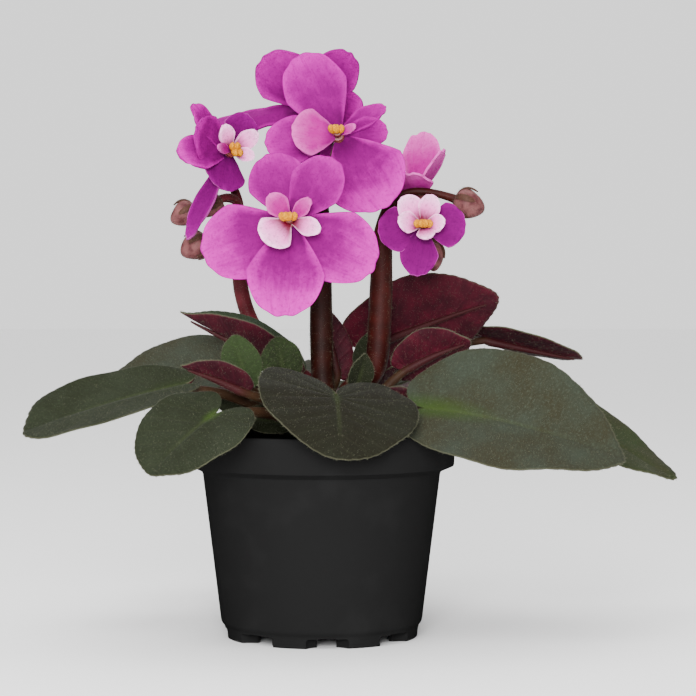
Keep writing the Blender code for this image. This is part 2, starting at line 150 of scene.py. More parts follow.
pot_inside = BODY_FOOT_RADIUS - POT_WALL
pot = lathe([
    (pot_inside - 0.8, POT_FLOOR + POT_WALL), (pot_inside, POT_FLOOR + POT_WALL + 1),
    (BODY_TOP_RADIUS - POT_WALL, BODY_TOP + 0.6), (BODY_TOP_RADIUS - POT_WALL + 0.3, BODY_TOP + 0.9),
    (RIM_RADIUS - POT_WALL - 0.8, BAND_FOOT + 0.6), (RIM_RADIUS - POT_WALL - 0.45, BAND_FOOT + 1.1),
    (RIM_RADIUS - POT_WALL, RIM_TOP - 0.7), (RIM_RADIUS - POT_WALL + 0.12, RIM_TOP - 0.25),
    (RIM_RADIUS - POT_WALL + 0.4, RIM_TOP), (RIM_RADIUS - 0.35, RIM_TOP),
    (RIM_RADIUS - 0.08, RIM_TOP - 0.25), (RIM_RADIUS, RIM_TOP - 0.7),
    (RIM_RADIUS - 0.35, BAND_FOOT + 0.5), (RIM_RADIUS - 0.5, BAND_FOOT + 0.15),
    (RIM_RADIUS - 0.85, BAND_FOOT), (BODY_TOP_RADIUS + 1.0, BODY_TOP + 0.5),
    (BODY_TOP_RADIUS + 0.35, BODY_TOP + 0.15), (BODY_TOP_RADIUS, BODY_TOP - 0.5),
    (BODY_FOOT_RADIUS + 0.04, 4.6), (BODY_FOOT_RADIUS - 0.05, 4.2),
    (FOOT_RADIUS + 0.75, 3.6), (FOOT_RADIUS + 0.35, 3.2), (FOOT_RADIUS + 0.2, 2.8),
    (FOOT_RADIUS, 0.35), (FOOT_RADIUS - 0.3, 0), (FOOT_RADIUS - 4.0, 0), (FOOT_RADIUS - 4.3, 0.3),
    (FOOT_RADIUS - 4.6, POT_FLOOR - 0.3), (FOOT_RADIUS - 4.9, POT_FLOOR)], POT_SEGMENTS)
for i in range(FEET):
    turn = math.radians(FIRST_NOTCH + 360 / FEET * i)
    out = Vector((math.cos(turn), math.sin(turn), 0))
    start_fresh()
    bpy.ops.mesh.primitive_cube_add(size=MM, location=AXIS + out * (FOOT_RADIUS - 1) * MM)
    slot = bpy.context.active_object
    slot.scale = (NOTCH_LENGTH, NOTCH_WIDTH, 2 * NOTCH_HEIGHT)
    slot.rotation_euler = (0, 0, turn)
    bpy.ops.object.transform_apply(location=True, rotation=True, scale=True)
    rounded(slot, 0.8)
    start_fresh()
    bpy.ops.mesh.primitive_cylinder_add(vertices=48, radius=SCOOP_RADIUS * MM,
                                        depth=2 * (NOTCH_HEIGHT - 0.2) * MM,
                                        location=AXIS + out * (FOOT_RADIUS + 2) * MM)
    scoop = bpy.context.active_object
    rounded(scoop, 0.9)
    for cutter in (slot, scoop):
        cut = pot.modifiers.new("notch", "BOOLEAN")
        cut.operation = "DIFFERENCE"
        cut.solver = "EXACT"
        cut.object = cutter
        applied(pot)
        bpy.data.objects.remove(cutter)


class Shade:
    """A value in the material being made. Sums and products of it add their own nodes."""

    tree = None

    def __init__(self, socket):
        self.socket = socket

    @classmethod
    def node(cls, kind, settings, sockets, out=0):
        made = cls.tree.nodes.new("ShaderNode" + kind)
        for name, value in settings.items():
            setattr(made, name, value)
        for name, value in sockets.items():
            if isinstance(value, Shade):
                cls.tree.links.new(value.socket, made.inputs[name])
            else:
                made.inputs[name].default_value = value
        return cls(made.outputs[out])

    def maths(self, operation, other=0.0, swapped=False):
        pair = (other, self) if swapped else (self, other)
        return Shade.node("Math", {"operation": operation}, {0: pair[0], 1: pair[1]})

    def __add__(self, other):
        return self.maths("ADD", other)

    def __radd__(self, other):
        return self.maths("ADD", other)

    def __sub__(self, other):
        return self.maths("SUBTRACT", other)

    def __rsub__(self, other):
        return self.maths("SUBTRACT", other, True)

    def __mul__(self, other):
        return self.maths("MULTIPLY", other)

    def __rmul__(self, other):
        return self.maths("MULTIPLY", other)

    def __truediv__(self, other):
        return self.maths("DIVIDE", other)

    def __pow__(self, other):
        return self.maths("POWER", other)

    def __abs__(self):
        return self.maths("ABSOLUTE")

    def eased(self, low, high):
        """0 below low and 1 above high, with a soft step between."""
        return Shade.node("MapRange", {"interpolation_type": "SMOOTHSTEP"},
                          {"Value": self, "From Min": low, "From Max": high})


def rgb(red, green, blue):
    """A colour given as a maker reads it off a chart, 0 to 255, as light."""
    light = [c / 255 / 12.92 if c < 10.3 else ((c / 255 + 0.055) / 1.055) ** 2.4
             for c in (red, green, blue)]
    return (*light, 1)


def mixed(amount, first, second):
    """Two colours mixed."""
    return Shade.node("Mix", {"data_type": "RGBA"}, {0: amount, 6: first, 7: second}, 2)


def grain(scale, detail=2.0, where=None, roughness=0.5):
    """Soft noise, scale in blotches to the metre, on the piece's own place or on a given one."""
    where = where or Shade.node("TexCoord", {}, {}, 3)
    return Shade.node("TexNoise", {}, {"Vector": where, "Scale": scale, "Detail": detail,
                                       "Roughness": roughness})


def written(name):
    """A number that is written on a piece's corners."""
    return Shade.node("Attribute", {"attribute_name": name}, {}, 2)


def split(vector):
    """The three numbers of a vector."""
    parts = Shade.node("SeparateXYZ", {}, {"Vector": vector}).socket.node
    return [Shade(socket) for socket in parts.outputs]


def new_finish(name):
    """Starts a material, which the expressions that follow add to."""
    made = bpy.data.materials.new(name)
    made.use_nodes = True
    Shade.tree = made.node_tree
    return made


def finish_with(made, colour, roughness, height=None, depth=0.1, strength=1.0, fixed=None):
    """Ends a material: colour, roughness, bump height of a depth in millimetres, fixed numbers."""
    shader = made.node_tree.nodes["Principled BSDF"]
    for name, value in (("Base Color", colour), ("Roughness", roughness)):
        if isinstance(value, Shade):
            Shade.tree.links.new(value.socket, shader.inputs[name])
        else:
            shader.inputs[name].default_value = value
    if height:
        bump = Shade.node("Bump", {}, {"Height": height, "Strength": strength, "Distance": depth * MM})
        Shade.tree.links.new(bump.socket, shader.inputs["Normal"])
    for name, value in (fixed or {}).items():
        shader.inputs[name].default_value = value


black_plastic = new_finish("black_plastic")
dust = grain(90, 5).eased(0.52, 0.78)
moulded = grain(2600, 3)
finish_with(black_plastic, mixed(dust * 0.35, rgb(24, 24, 24), rgb(32, 32, 32)),
            0.36 + 0.12 * dust + 0.06 * moulded, moulded, 0.025, 0.35,
            {"Specular IOR Level": 0.0})
pot.data.materials.append(black_plastic)
pick(pot)
bpy.ops.object.shade_smooth_by_angle(angle=math.radians(32))
shown(pot, "nursery_pot", "black_plastic", "pot")

# ---------------------------------------------------------------------------------------------
# Potting soil: dark crumbly peat with a few white grains of perlite, filled to just under the
# rim. Its surface is rough, and loose crumbs and grains lie on it.
SOIL_TOP = 48.0
SOIL_RADIUS = RIM_RADIUS - POT_WALL - 1.0
CROWN_X = 3.0
CROWN_Y = 2.0
CRUMBS = 900
GRAINS = 70

soil = lathe([
    (0.5, SOIL_TOP + 0.1), (4, SOIL_TOP + 0.1), (8, SOIL_TOP + 0.1), (12, SOIL_TOP), (16, SOIL_TOP - 0.1),
    (20, SOIL_TOP - 0.3), (24, SOIL_TOP - 0.6), (28, SOIL_TOP - 0.9), (SOIL_RADIUS, SOIL_TOP - 1.3),
    (SOIL_RADIUS, BAND_FOOT + 1.6), (BODY_TOP_RADIUS - POT_WALL - 0.3, BODY_TOP + 0.8),
    (pot_inside - 0.3, POT_FLOOR + POT_WALL + 1.4), (pot_inside - 1.2, POT_FLOOR + POT_WALL + 0.3)], 96)
bpy.ops.object.mode_set(mode="EDIT")
bpy.ops.mesh.select_all(action="DESELECT")
bpy.ops.object.mode_set(mode="OBJECT")
bpy.ops.object.transform_apply(location=True, rotation=True, scale=True)
for face in soil.data.polygons:
    face.select = face.normal.z > 0.7 and len(face.vertices) == 4
bpy.ops.object.mode_set(mode="EDIT")
bpy.ops.mesh.subdivide(number_cuts=2)
bpy.ops.object.mode_set(mode="OBJECT")
for vertex in soil.data.vertices:
    if vertex.co.z > (SOIL_TOP - 1.2) * MM:
        vertex.co.z += (noise.noise(vertex.co * 320) * 0.7 + noise.noise(vertex.co * 900) * 0.4) * MM


def crumb_set(name, count, smallest, largest, seed):
    """Loose irregular crumbs strewn on the soil."""
    strewn = random.Random(seed)
    pile = bmesh.new()
    for i in range(count):
        away = SOIL_RADIUS * math.sqrt(strewn.random()) * 0.97
        turn = strewn.uniform(0, 2 * math.pi)
        x, y = away * math.cos(turn), away * math.sin(turn)
        size = strewn.uniform(smallest, largest)
        if math.hypot(x - CROWN_X, y - CROWN_Y) < 7 + size or away + size > SOIL_RADIUS:
            continue
        made = bmesh.ops.create_icosphere(pile, subdivisions=1, radius=size * MM)
        shift = Vector((strewn.random(), strewn.random(), strewn.random())) * 50
        place = at(x, y, SOIL_TOP - 0.9 * (away / SOIL_RADIUS) ** 2 + size * 0.4)
        for vertex in made["verts"]:
            lump = 1 + 0.5 * noise.noise(vertex.co / (size * MM) + shift)
            vertex.co = vertex.co * lump
            vertex.co.z *= 0.8
            vertex.co += place
    mesh = bpy.data.meshes.new(name)
    pile.to_mesh(mesh)
    pile.free()
    crumbs = bpy.data.objects.new(name, mesh)
    bpy.context.collection.objects.link(crumbs)
    return crumbs


peat = new_finish("potting_soil")
dampness = grain(700, 6, roughness=0.7)
finish_with(peat, mixed(dampness.eased(0.35, 0.7), rgb(18, 13, 10), rgb(48, 36, 27)), 0.92,
            dampness, 0.5, 0.8)
perlite = new_finish("perlite")
pitted = grain(2600, 4)
finish_with(perlite, mixed(pitted, rgb(150, 146, 138), rgb(190, 186, 178)), 0.85, pitted, 0.15, 0.8)
soil.data.materials.append(peat)
shown(soil, "soil_bed", "potting_soil", "soil")
crumbs = crumb_set("crumbs", CRUMBS, 0.35, 1.3, 11)
crumbs.data.materials.append(peat)
shown(crumbs, "soil_crumbs", "potting_soil")
perlite_grains = crumb_set("perlite", GRAINS, 0.4, 1.0, 12)
perlite_grains.data.materials.append(perlite)
shown(perlite_grains, "soil_perlite", "potting_soil")

# ---------------------------------------------------------------------------------------------
# Crown: the short thick stem that stands in the soil and carries every leaf and flower stalk.
# It is knobbly, with the scars of old leaves, and brown below and greener above.
CROWN = Vector((CROWN_X, CROWN_Y, 0))
CROWN_RADIUS = 5.0
CROWN_FOOT = 42.0
CROWN_TOP = 62.0

start_fresh()
bpy.ops.mesh.primitive_cylinder_add(vertices=48, radius=CROWN_RADIUS * 0.97 * MM,
                                    depth=(CROWN_TOP - CROWN_FOOT - 0.6) * MM,
                                    location=at(CROWN_X, CROWN_Y, (CROWN_TOP + CROWN_FOOT) / 2))
crown = bpy.context.active_object
bpy.ops.object.transform_apply(location=True, rotation=True, scale=True)
bpy.ops.object.mode_set(mode="EDIT")
bpy.ops.mesh.select_all(action="SELECT")
bpy.ops.mesh.bevel(offset=1.0 * MM, segments=3, affect="EDGES")
bpy.ops.mesh.select_all(action="SELECT")
bpy.ops.mesh.subdivide(number_cuts=3)
bpy.ops.object.mode_set(mode="OBJECT")
for vertex in crown.data.vertices:
    away = vertex.co - at(CROWN_X, CROWN_Y, vertex.co.z / MM)
    scars = 0.03 * math.sin(math.atan2(away.y, away.x) * 5 + vertex.co.z / MM * 1.3)
    knobs = 0.04 * noise.noise(vertex.co * 500)
    vertex.co.x += away.x * (scars + knobs - 0.03)
    vertex.co.y += away.y * (scars + knobs - 0.03)
stem_bark = new_finish("crown_stem")
ridges = grain(500, 4)
height_up = split(Shade.node("TexCoord", {}, {}, 3))[2]
finish_with(stem_bark, mixed(height_up.eased(0.050, 0.060) * 0.7 + ridges * 0.3,
                             rgb(38, 27, 19), rgb(62, 57, 34)), 0.8, ridges, 0.3, 0.7)
crown.data.materials.append(stem_bark)
pick(crown)
bpy.ops.object.shade_smooth()
shown(crown, "crown_stub", "crown_stem", "crown")

# What the soft green parts share: hardly any shine, and the leaves a faint down
DULL = {"Specular IOR Level": 0.12}
DOWNY = {"Sheen Weight": 0.02, "Sheen Roughness": 0.5}

# ---------------------------------------------------------------------------------------------
# Leaves: thick heart-shaped blades, softly hairy, each on a round hairy stalk from the crown that
# goes on under the blade as its midrib. The tops are olive to grey-green with sunken veins and
# the undersides maroon; the edge is finely scalloped and carries a fringe of pale hairs.
GAP = 0.3
BLADE = 0.8
TAPER = 0.35
OWN_TAPER = {"leaf_01": -0.5, "leaf_05": 0.5}
PETIOLE = 1.5
YOUNG_PETIOLE = 0.9
AROUND = 176
INWARD = 30
VEIN_SPACING = 0.17
VEIN_FAN = 0.35
VEIN_WIDENING = 0.45
VEINS_BEHIND = 0.5
MIDRIB_END = 0.93
SCALLOPS = 23
STALK_STEPS = 22
MIDRIB_STEPS = 14
MAP_ACROSS = 200.0
HAIR_LENGTH = 0.6
HAIR_GIRTH = 0.028
HAIRS_PER_AREA = 3.0
FRINGE = 8
DROOP = (0, 0, -0.2)
SCALLOP_DEPTH = 0.008
SWELL = 0.012
QUILTING = 0.010
GROOVE = 0.22
EDGE_WAVE = 0.018
SOFT_WAVE = 0.03

# Each leaf: where its blade meets its stalk, its tip, width, roll, keel, arch, lobe, and where its
# stalk leaves the crown (degrees round it and height).
LEAVES = {
    "leaf_01": ((-35, -15, 66.5), (-74.5, -20, 54.8), 21.5, -29, 0.22, 1.0, 5, 196, 52.0),
    "leaf_02": ((-22, 7, 71.0), (-56, 11, 66.3), 28, -32, 0.10, 0.5, 6, 172, 55.5),
    "leaf_03": ((-26.5, -33, 59.5), (-41, -45, 46.0), 28, -22, 0.10, 1.0, 9.5, 234, 51.5),
    "leaf_04": ((4.0, -27.8, 63.6), (4.8, -44.8, 49.8), 41, -13, 0.06, 1.4, 18.4, 272, 52.3),
    "leaf_05": ((26.5, -19, 60.5), (75, -28, 48.5), 38, 48, 0.38, 3.0, 8, 318, 51.5),
    "leaf_06": ((40, 6, 67.5), (91, -3, 41.8), 25, 27, 0.10, 1.5, 6, 352, 52.0),
    "leaf_07": ((12, 16, 75.5), (46.5, 22, 87.5), 31, -62, 0.05, 1.0, 9, 50, 58.5),
    "leaf_08": ((45, 36, 77.8), (71.5, 36, 71.5), 15.5, -24, 0.05, 0.0, 5, 85, 55.0),
    "leaf_09": ((-7, -2.7, 69.8), (-35.5, -3.0, 84.0), 14, -4, 1.1, 0.3, 4, 170, 60.0),
    "leaf_10": ((-19, -14.5, 67.0), (-22.5, -13, 78.5), 10.5, 5, 0.1, 1.0, 2.5, 206, 59.5),
    "leaf_11": ((-9.5, -12, 68.0), (-11, -11.5, 78.0), 11, 0, 0.1, 1.0, 2.0, 236, 59.5),
    "leaf_12": ((-19, -22, 66.0), (-34, -27, 71.5), 10, 30, 0.40, 0.5, 2.5, 218, 56.5),
    "leaf_13": ((4, 9, 68), (0.5, 7.5, 85.0), 11, 180, 0.1, 0.5, 3, 115, 58.5),
    "leaf_14": ((22, -2, 70.5), (38, -6, 77.0), 16, -50, 0.15, 1.0, 4, 338, 57.0),
    "leaf_15": ((-14, 32, 66.0), (-30, 62, 57.0), 34, -8, 0.15, 3.0, 9, 127, 52.0),
    "leaf_16": ((12, 36, 64.0), (16, 73, 54.0), 36, 0, 0.15, 2.8, 10, 97, 51.5),
    "leaf_17": ((42, 28, 61.5), (74, 42, 52.0), 32, 8, 0.15, 3.0, 8, 32, 52.0),
    "leaf_18": ((-38, 16, 62.5), (-69, 32, 54.0), 30, -10, 0.15, 3.0, 7, 158, 52.0),
}

# How each leaf is coloured: its top's main and second colour, how green it is where the stalk
# meets it (0 to 1), and its underside's colour between dull (0) and bright maroon (1).
OLIVE = rgb(39, 37, 24)
SLATE = rgb(43, 50, 42)
GREEN = rgb(34, 44, 24)
BROWN = rgb(19, 17, 9)
FRESH = rgb(40, 54, 28)
SHADED = rgb(23, 27, 14)
SHADED_GREY = rgb(34, 39, 27)
SHADED_BROWN = rgb(24, 26, 17)
YOUNG_COLOURS = (SHADED, SHADED_BROWN, 0.2, 0.1)
LEAF_COLOURS = {
    "leaf_01": (SHADED, SHADED_GREY, 0.15, 0.2), "leaf_02": (OLIVE, SLATE, 0.1, 0.2),
    "leaf_03": (SHADED, SHADED_GREY, 1.0, 0.3), "leaf_04": (BROWN, SHADED_BROWN, 0.2, 0.3),
    "leaf_05": (OLIVE, SLATE, 0.9, 0.3), "leaf_06": (GREEN, OLIVE, 0.3, 0.3),
    "leaf_07": (OLIVE, GREEN, 0.4, 0.45), "leaf_08": (GREEN, FRESH, 0.4, 0.15),
    "leaf_09": (GREEN, SLATE, 0.3, 0.35), "leaf_10": (GREEN, FRESH, 0.2, 0.2),
    "leaf_11": (SHADED, FRESH, 0.2, 0.2), "leaf_12": (OLIVE, GREEN, 0.3, 0.2),
    "leaf_13": (SLATE, FRESH, 0.2, 0.3), "leaf_14": (GREEN, SLATE, 0.3, 0.42),
    "leaf_15": (OLIVE, SLATE, 0.5, 0.3), "leaf_16": (OLIVE, GREEN, 0.5, 0.3),
    "leaf_17": (SLATE, OLIVE, 0.5, 0.3), "leaf_18": (SLATE, GREEN, 0.5, 0.3),
}


def heart(turn, length, width, lobe, taper):
    """A point on a leaf's edge, turn from -pi to pi with 0 at the tip: across and along."""
    middle = (length - lobe) / 2
    across = width / 2 * math.sin(turn)
    along = middle + (length + lobe) / 2 * math.cos(turn)
    from_sinus = math.pi - abs(math.atan2(across, along))
    notch = 1 - 0.92 * math.exp(-((from_sinus / 0.42) ** 2))
    point = 1 + 0.03 * math.exp(-((turn / 0.3) ** 2))
    slimness = min(1, max(0, length / width - 0.5))
    narrowed = 1 - taper * slimness * max(0, along / length) ** 3
    return across * notch * narrowed, along * notch * point


def vein_count(x, y, half, length):
    """Which side vein a place on the blade is at: whole on a vein, and a half between two."""
    lead = y - VEIN_FAN * abs(x)
    if lead >= 0:
        return lead / (VEIN_SPACING * length * (1 + VEIN_WIDENING * abs(x) / half))
    behind = math.atan2(abs(x), y) - math.atan2(1, VEIN_FAN)
    return -behind / VEINS_BEHIND


def sheet_from_grid(columns, rows, place):
    """A grid primitive with its corners moved: place turns u and v, -1 to 1, into a point."""
    start_fresh()
    bpy.ops.mesh.primitive_grid_add(x_subdivisions=columns, y_subdivisions=rows, size=2,
                                    location=(0, 0, 0))
    made = bpy.context.active_object
    for vertex in made.data.vertices:
        vertex.co = place(vertex.co.x, vertex.co.y)
    return made


def closed_up(made, thickness, under=0):
    """Doubles merged, and a wall of a thickness in millimetres put on the sheet's underside."""
    bpy.context.view_layer.objects.active = made
    bpy.ops.object.mode_set(mode="EDIT")
    bpy.ops.mesh.select_all(action="SELECT")
    bpy.ops.mesh.remove_doubles(threshold=1e-6)
    bpy.ops.object.mode_set(mode="OBJECT")
    wall = made.modifiers.new("wall", "SOLIDIFY")
    wall.thickness = thickness * MM
    wall.offset = -1
    if "body" in made.vertex_groups:
        wall.vertex_group = "body"
        wall.thickness_vertex_group = 0.4
    wall.use_even_offset = False
    outer = len(made.data.polygons)
    applied(made)
    for face in made.data.polygons[outer:2 * outer]:
        face.material_index = under
    return made


def bent(start, leaving, arriving, end, count):
    """Points along a smooth stem from start to end, with its two end directions."""
    start, end = Vector(start), Vector(end)
    reach = 0.4 * (end - start).length
    first = start + Vector(leaving).normalized() * reach
    last = end - Vector(arriving).normalized() * reach
    points = []
    for i in range(count):
        t = i / (count - 1)
        s = 1 - t
        points.append(s**3 * start + 3 * s * s * t * first + 3 * s * t * t * last + t**3 * end)
    return points


def tube(points, radii, resolution=4):
    """A round stem through the points, with a radius in millimetres at each."""
    start_fresh()
    bpy.ops.curve.primitive_nurbs_path_add(location=(0, 0, 0))
    stem = bpy.context.active_object
    curve = stem.data
    curve.splines.clear()
    curve.bevel_depth = MM
    curve.bevel_resolution = resolution
    curve.use_fill_caps = True
    spline = curve.splines.new("POLY")
    spline.points.add(len(points) - 1)
    for node, point, radius in zip(spline.points, points, radii):
        node.co = (*at(*point), 1)
        node.radius = radius
    bpy.ops.object.convert(target="MESH")
    return bpy.context.active_object


def furred(piece, name, count, longest, seed, slot, thickness, rim=0, lean=(0, 0, 0)):
    """Pale hairs standing on a piece, spread evenly over its faces; rim is how many more stand
    out from its edge. Each hair is a thin closed spike."""
    mesh = piece.data
    mesh.calc_loop_triangles()
    picked = numpy.random.default_rng(seed)
    corners = numpy.empty(len(mesh.vertices) * 3)
    mesh.vertices.foreach_get("co", corners)
    corners = corners.reshape(-1, 3)
    triangles = numpy.empty(len(mesh.loop_triangles) * 3, dtype=numpy.int64)
    mesh.loop_triangles.foreach_get("vertices", triangles)
    triangles = triangles.reshape(-1, 3)
    # The draw goes by where the faces lie, because a bevel can leave them in any order.
    triangles = triangles[numpy.lexsort(corners[triangles].reshape(-1, 9).T)]
    a, b, c = (corners[triangles[:, i]] for i in range(3))
    crossed = numpy.cross(b - a, c - a)
    areas = numpy.linalg.norm(crossed, axis=1)
    chosen = picked.choice(len(areas), count, p=areas / areas.sum())
    u, v = picked.random((2, count))
    over = u + v > 1
    u[over], v[over] = 1 - u[over], 1 - v[over]
    roots = a[chosen] + (b - a)[chosen] * u[:, None] + (c - a)[chosen] * v[:, None]
    ways = crossed[chosen] / (areas[chosen][:, None] + 1e-12)
    ways = ways + picked.normal(0, 0.35, ways.shape) + numpy.array(lean)
    if rim:
        reach = numpy.empty(len(mesh.vertices))
        mesh.attributes["reach"].data.foreach_get("value", reach)
        edge = numpy.nonzero(reach > 0.995)[0]
        inner = corners[reach < 0.5].mean(axis=0)
        some = picked.choice(edge, rim)
        roots = numpy.vstack([roots, corners[some] + picked.normal(0, 0.12 * MM, (rim, 3))])
        outward = corners[some] - inner
        outward /= numpy.linalg.norm(outward, axis=1)[:, None]
        ways = numpy.vstack([ways, outward + picked.normal(0, 0.4, (rim, 3))])
    total = count + rim
    ways /= numpy.linalg.norm(ways, axis=1)[:, None]
    lengths = longest * MM * picked.uniform(0.4, 1, total)[:, None]
    side = numpy.cross(ways, numpy.array([0.31, 0.57, 0.76]))
    side /= numpy.linalg.norm(side, axis=1)[:, None]
    other = numpy.cross(ways, side)
    foot = roots - ways * 0.05 * MM
    girth = thickness * MM
    spikes = numpy.empty((total, 4, 3))
    spikes[:, 0] = foot + side * girth
    spikes[:, 1] = foot - side * girth * 0.5 + other * girth * 0.87
    spikes[:, 2] = foot - side * girth * 0.5 - other * girth * 0.87
    spikes[:, 3] = roots + ways * lengths
    first = numpy.arange(total)[:, None] * 4
    sides = numpy.concatenate([first + numpy.array(t) for t in
                               ((0, 1, 3), (1, 2, 3), (2, 0, 3), (0, 2, 1))], axis=0)
    fur = bpy.data.meshes.new(name)
    fur.from_pydata(spikes.reshape(-1, 3).tolist(), [], sides.tolist())
    hairs = bpy.data.objects.new(name, fur)
    bpy.context.collection.objects.link(hairs)
    hairs.data.materials.append(pale_hair)
    shown(hairs, name, slot)


pale_hair = new_finish("pale_hair")
finish_with(pale_hair, mixed(grain(400, 2), rgb(48, 50, 38), rgb(118, 118, 98)), 0.7,
            fixed={"Specular IOR Level": 0.1})


def blade_places():
    """Places on a blade from its own map, in millimetres: across and along, and how far out
    towards the edge (1 at the edge)."""
    across, along, _ = split(Shade.node("UVMap", {"uv_map": "UVMap"}, {}))
    reach = written("reach")
    return (across - 0.5) * MAP_ACROSS, (along - 0.5) * MAP_ACROSS, reach


def vein_shades(x, y, half, length):
    """How strongly the side veins, the midrib and the fine net show at each place."""
    spread = abs(x)
    lead = y - VEIN_FAN * spread
    spacing = VEIN_SPACING * length * (1 + VEIN_WIDENING / half * spread)
    ahead = lead / spacing
    behind = (spread.maths("ARCTAN2", y) - math.atan2(1, VEIN_FAN)) * (-1 / VEINS_BEHIND)
    forward = lead.maths("GREATER_THAN", 0.0)
    count = ahead * forward + behind * (1 - forward)
    away = abs(count - count.maths("ROUND")) * spacing
    sides = 1 - away.eased(0.12, 0.55)
    midrib = 1 - spread.eased(0.25, 0.95)
    place = Shade.node("CombineXYZ", {}, {0: x, 1: y, 2: 0.0})
    cells = Shade.node("TexVoronoi", {"feature": "DISTANCE_TO_EDGE"},
                       {"Vector": place, "Scale": 0.62, "Randomness": 1.0})
    net = 1 - cells.eased(0.0, 0.3)
    return sides, midrib, net, place


def leaf_finishes(name, length, half, main, second, green, bright):
    """A leaf's top, underside and stalk materials."""
    top = new_finish(name + "_top")
    x, y, reach = blade_places()
    sides, midrib, net, place = vein_shades(x, y, half, length)
    blotches = grain(0.07, 4, place).eased(0.3, 0.7)
    speckle = grain(1.7, 4, place, 0.75)
    base = mixed(blotches * 0.75, main, second)
    downy = tuple(min(1, c * 2.1) for c in second)
    base = mixed(speckle.eased(0.5, 0.72) * 0.6, base, downy)
    rows = Shade.node("CombineXYZ", {}, {0: (y - VEIN_FAN * abs(x)) * 3.2, 1: x * 0.8,
                                        2: length})
    combed = grain(1.0, 3, rows, 0.6)
    base = mixed(combed.eased(0.52, 0.7) * 0.2, base, downy)
    spot = (x * x * 7 + y * y * (900 / length**2)) ** 0.5
    streak = (spot + (speckle - 0.5) * 3).eased(0.5, length * 0.26)
    base = mixed((1 - streak) * green * 0.8, base, rgb(42, 60, 18))
    base = mixed(midrib * 0.12 * (1 - y.eased(length * 0.3, length * 0.9)), base, rgb(66, 78, 42))
    base = mixed(sides * 0.10, base, rgb(50, 52, 38))
    base = mixed(net * 0.10, base, rgb(18, 17, 12))
    base = mixed(reach.eased(0.985, 1.0) * 0.3, base, rgb(92, 92, 72))
    relief = speckle * 0.9 - sides * 0.12 - midrib * 0.6 - net * 0.2
    finish_with(top, base, 0.62 + 0.2 * speckle, relief, 0.22, 0.75,
                {**DOWNY, "Specular IOR Level": 0.06})
    under = new_finish(name + "_under")
    x, y, reach = blade_places()
    sides, midrib, net, place = vein_shades(x, y, half, length)
    cloud = grain(0.16, 4, place, 0.6).eased(0.35, 0.7)
    speckle = grain(2.2, 4, place, 0.7)
    dull = tuple(d + (b - d) * bright for d, b in zip(rgb(27, 3, 10), rgb(54, 0, 17)))
    lit = tuple(d + (b - d) * bright for d, b in zip(rgb(40, 7, 15), rgb(84, 2, 30)))
    base = mixed(cloud, dull, lit)
    base = mixed(sides * 0.08 + midrib * 0.1, base, rgb(88, 26, 40))
    base = mixed(net * 0.10, base, rgb(16, 3, 7))
    base = mixed(reach.eased(0.98, 1.0) * 0.35, base, rgb(84, 68, 58))
    finish_with(under, base, 0.6 + 0.15 * speckle, sides * 0.4 + net * 0.3 + speckle * 0.5,
                0.25, 0.7, {**DOWNY, **DULL})
    stalk = new_finish(name + "_stalk")
    streaks = grain(260, 3)
    under_blade = written("reach")
    green_brown = mixed(streaks, rgb(38, 22, 14), rgb(56, 38, 23))
    finish_with(stalk, mixed(under_blade, green_brown, rgb(44, 8, 14)), 0.6, grain(1800, 3), 0.1, 0.5,
                DULL)
    return top, under, stalk


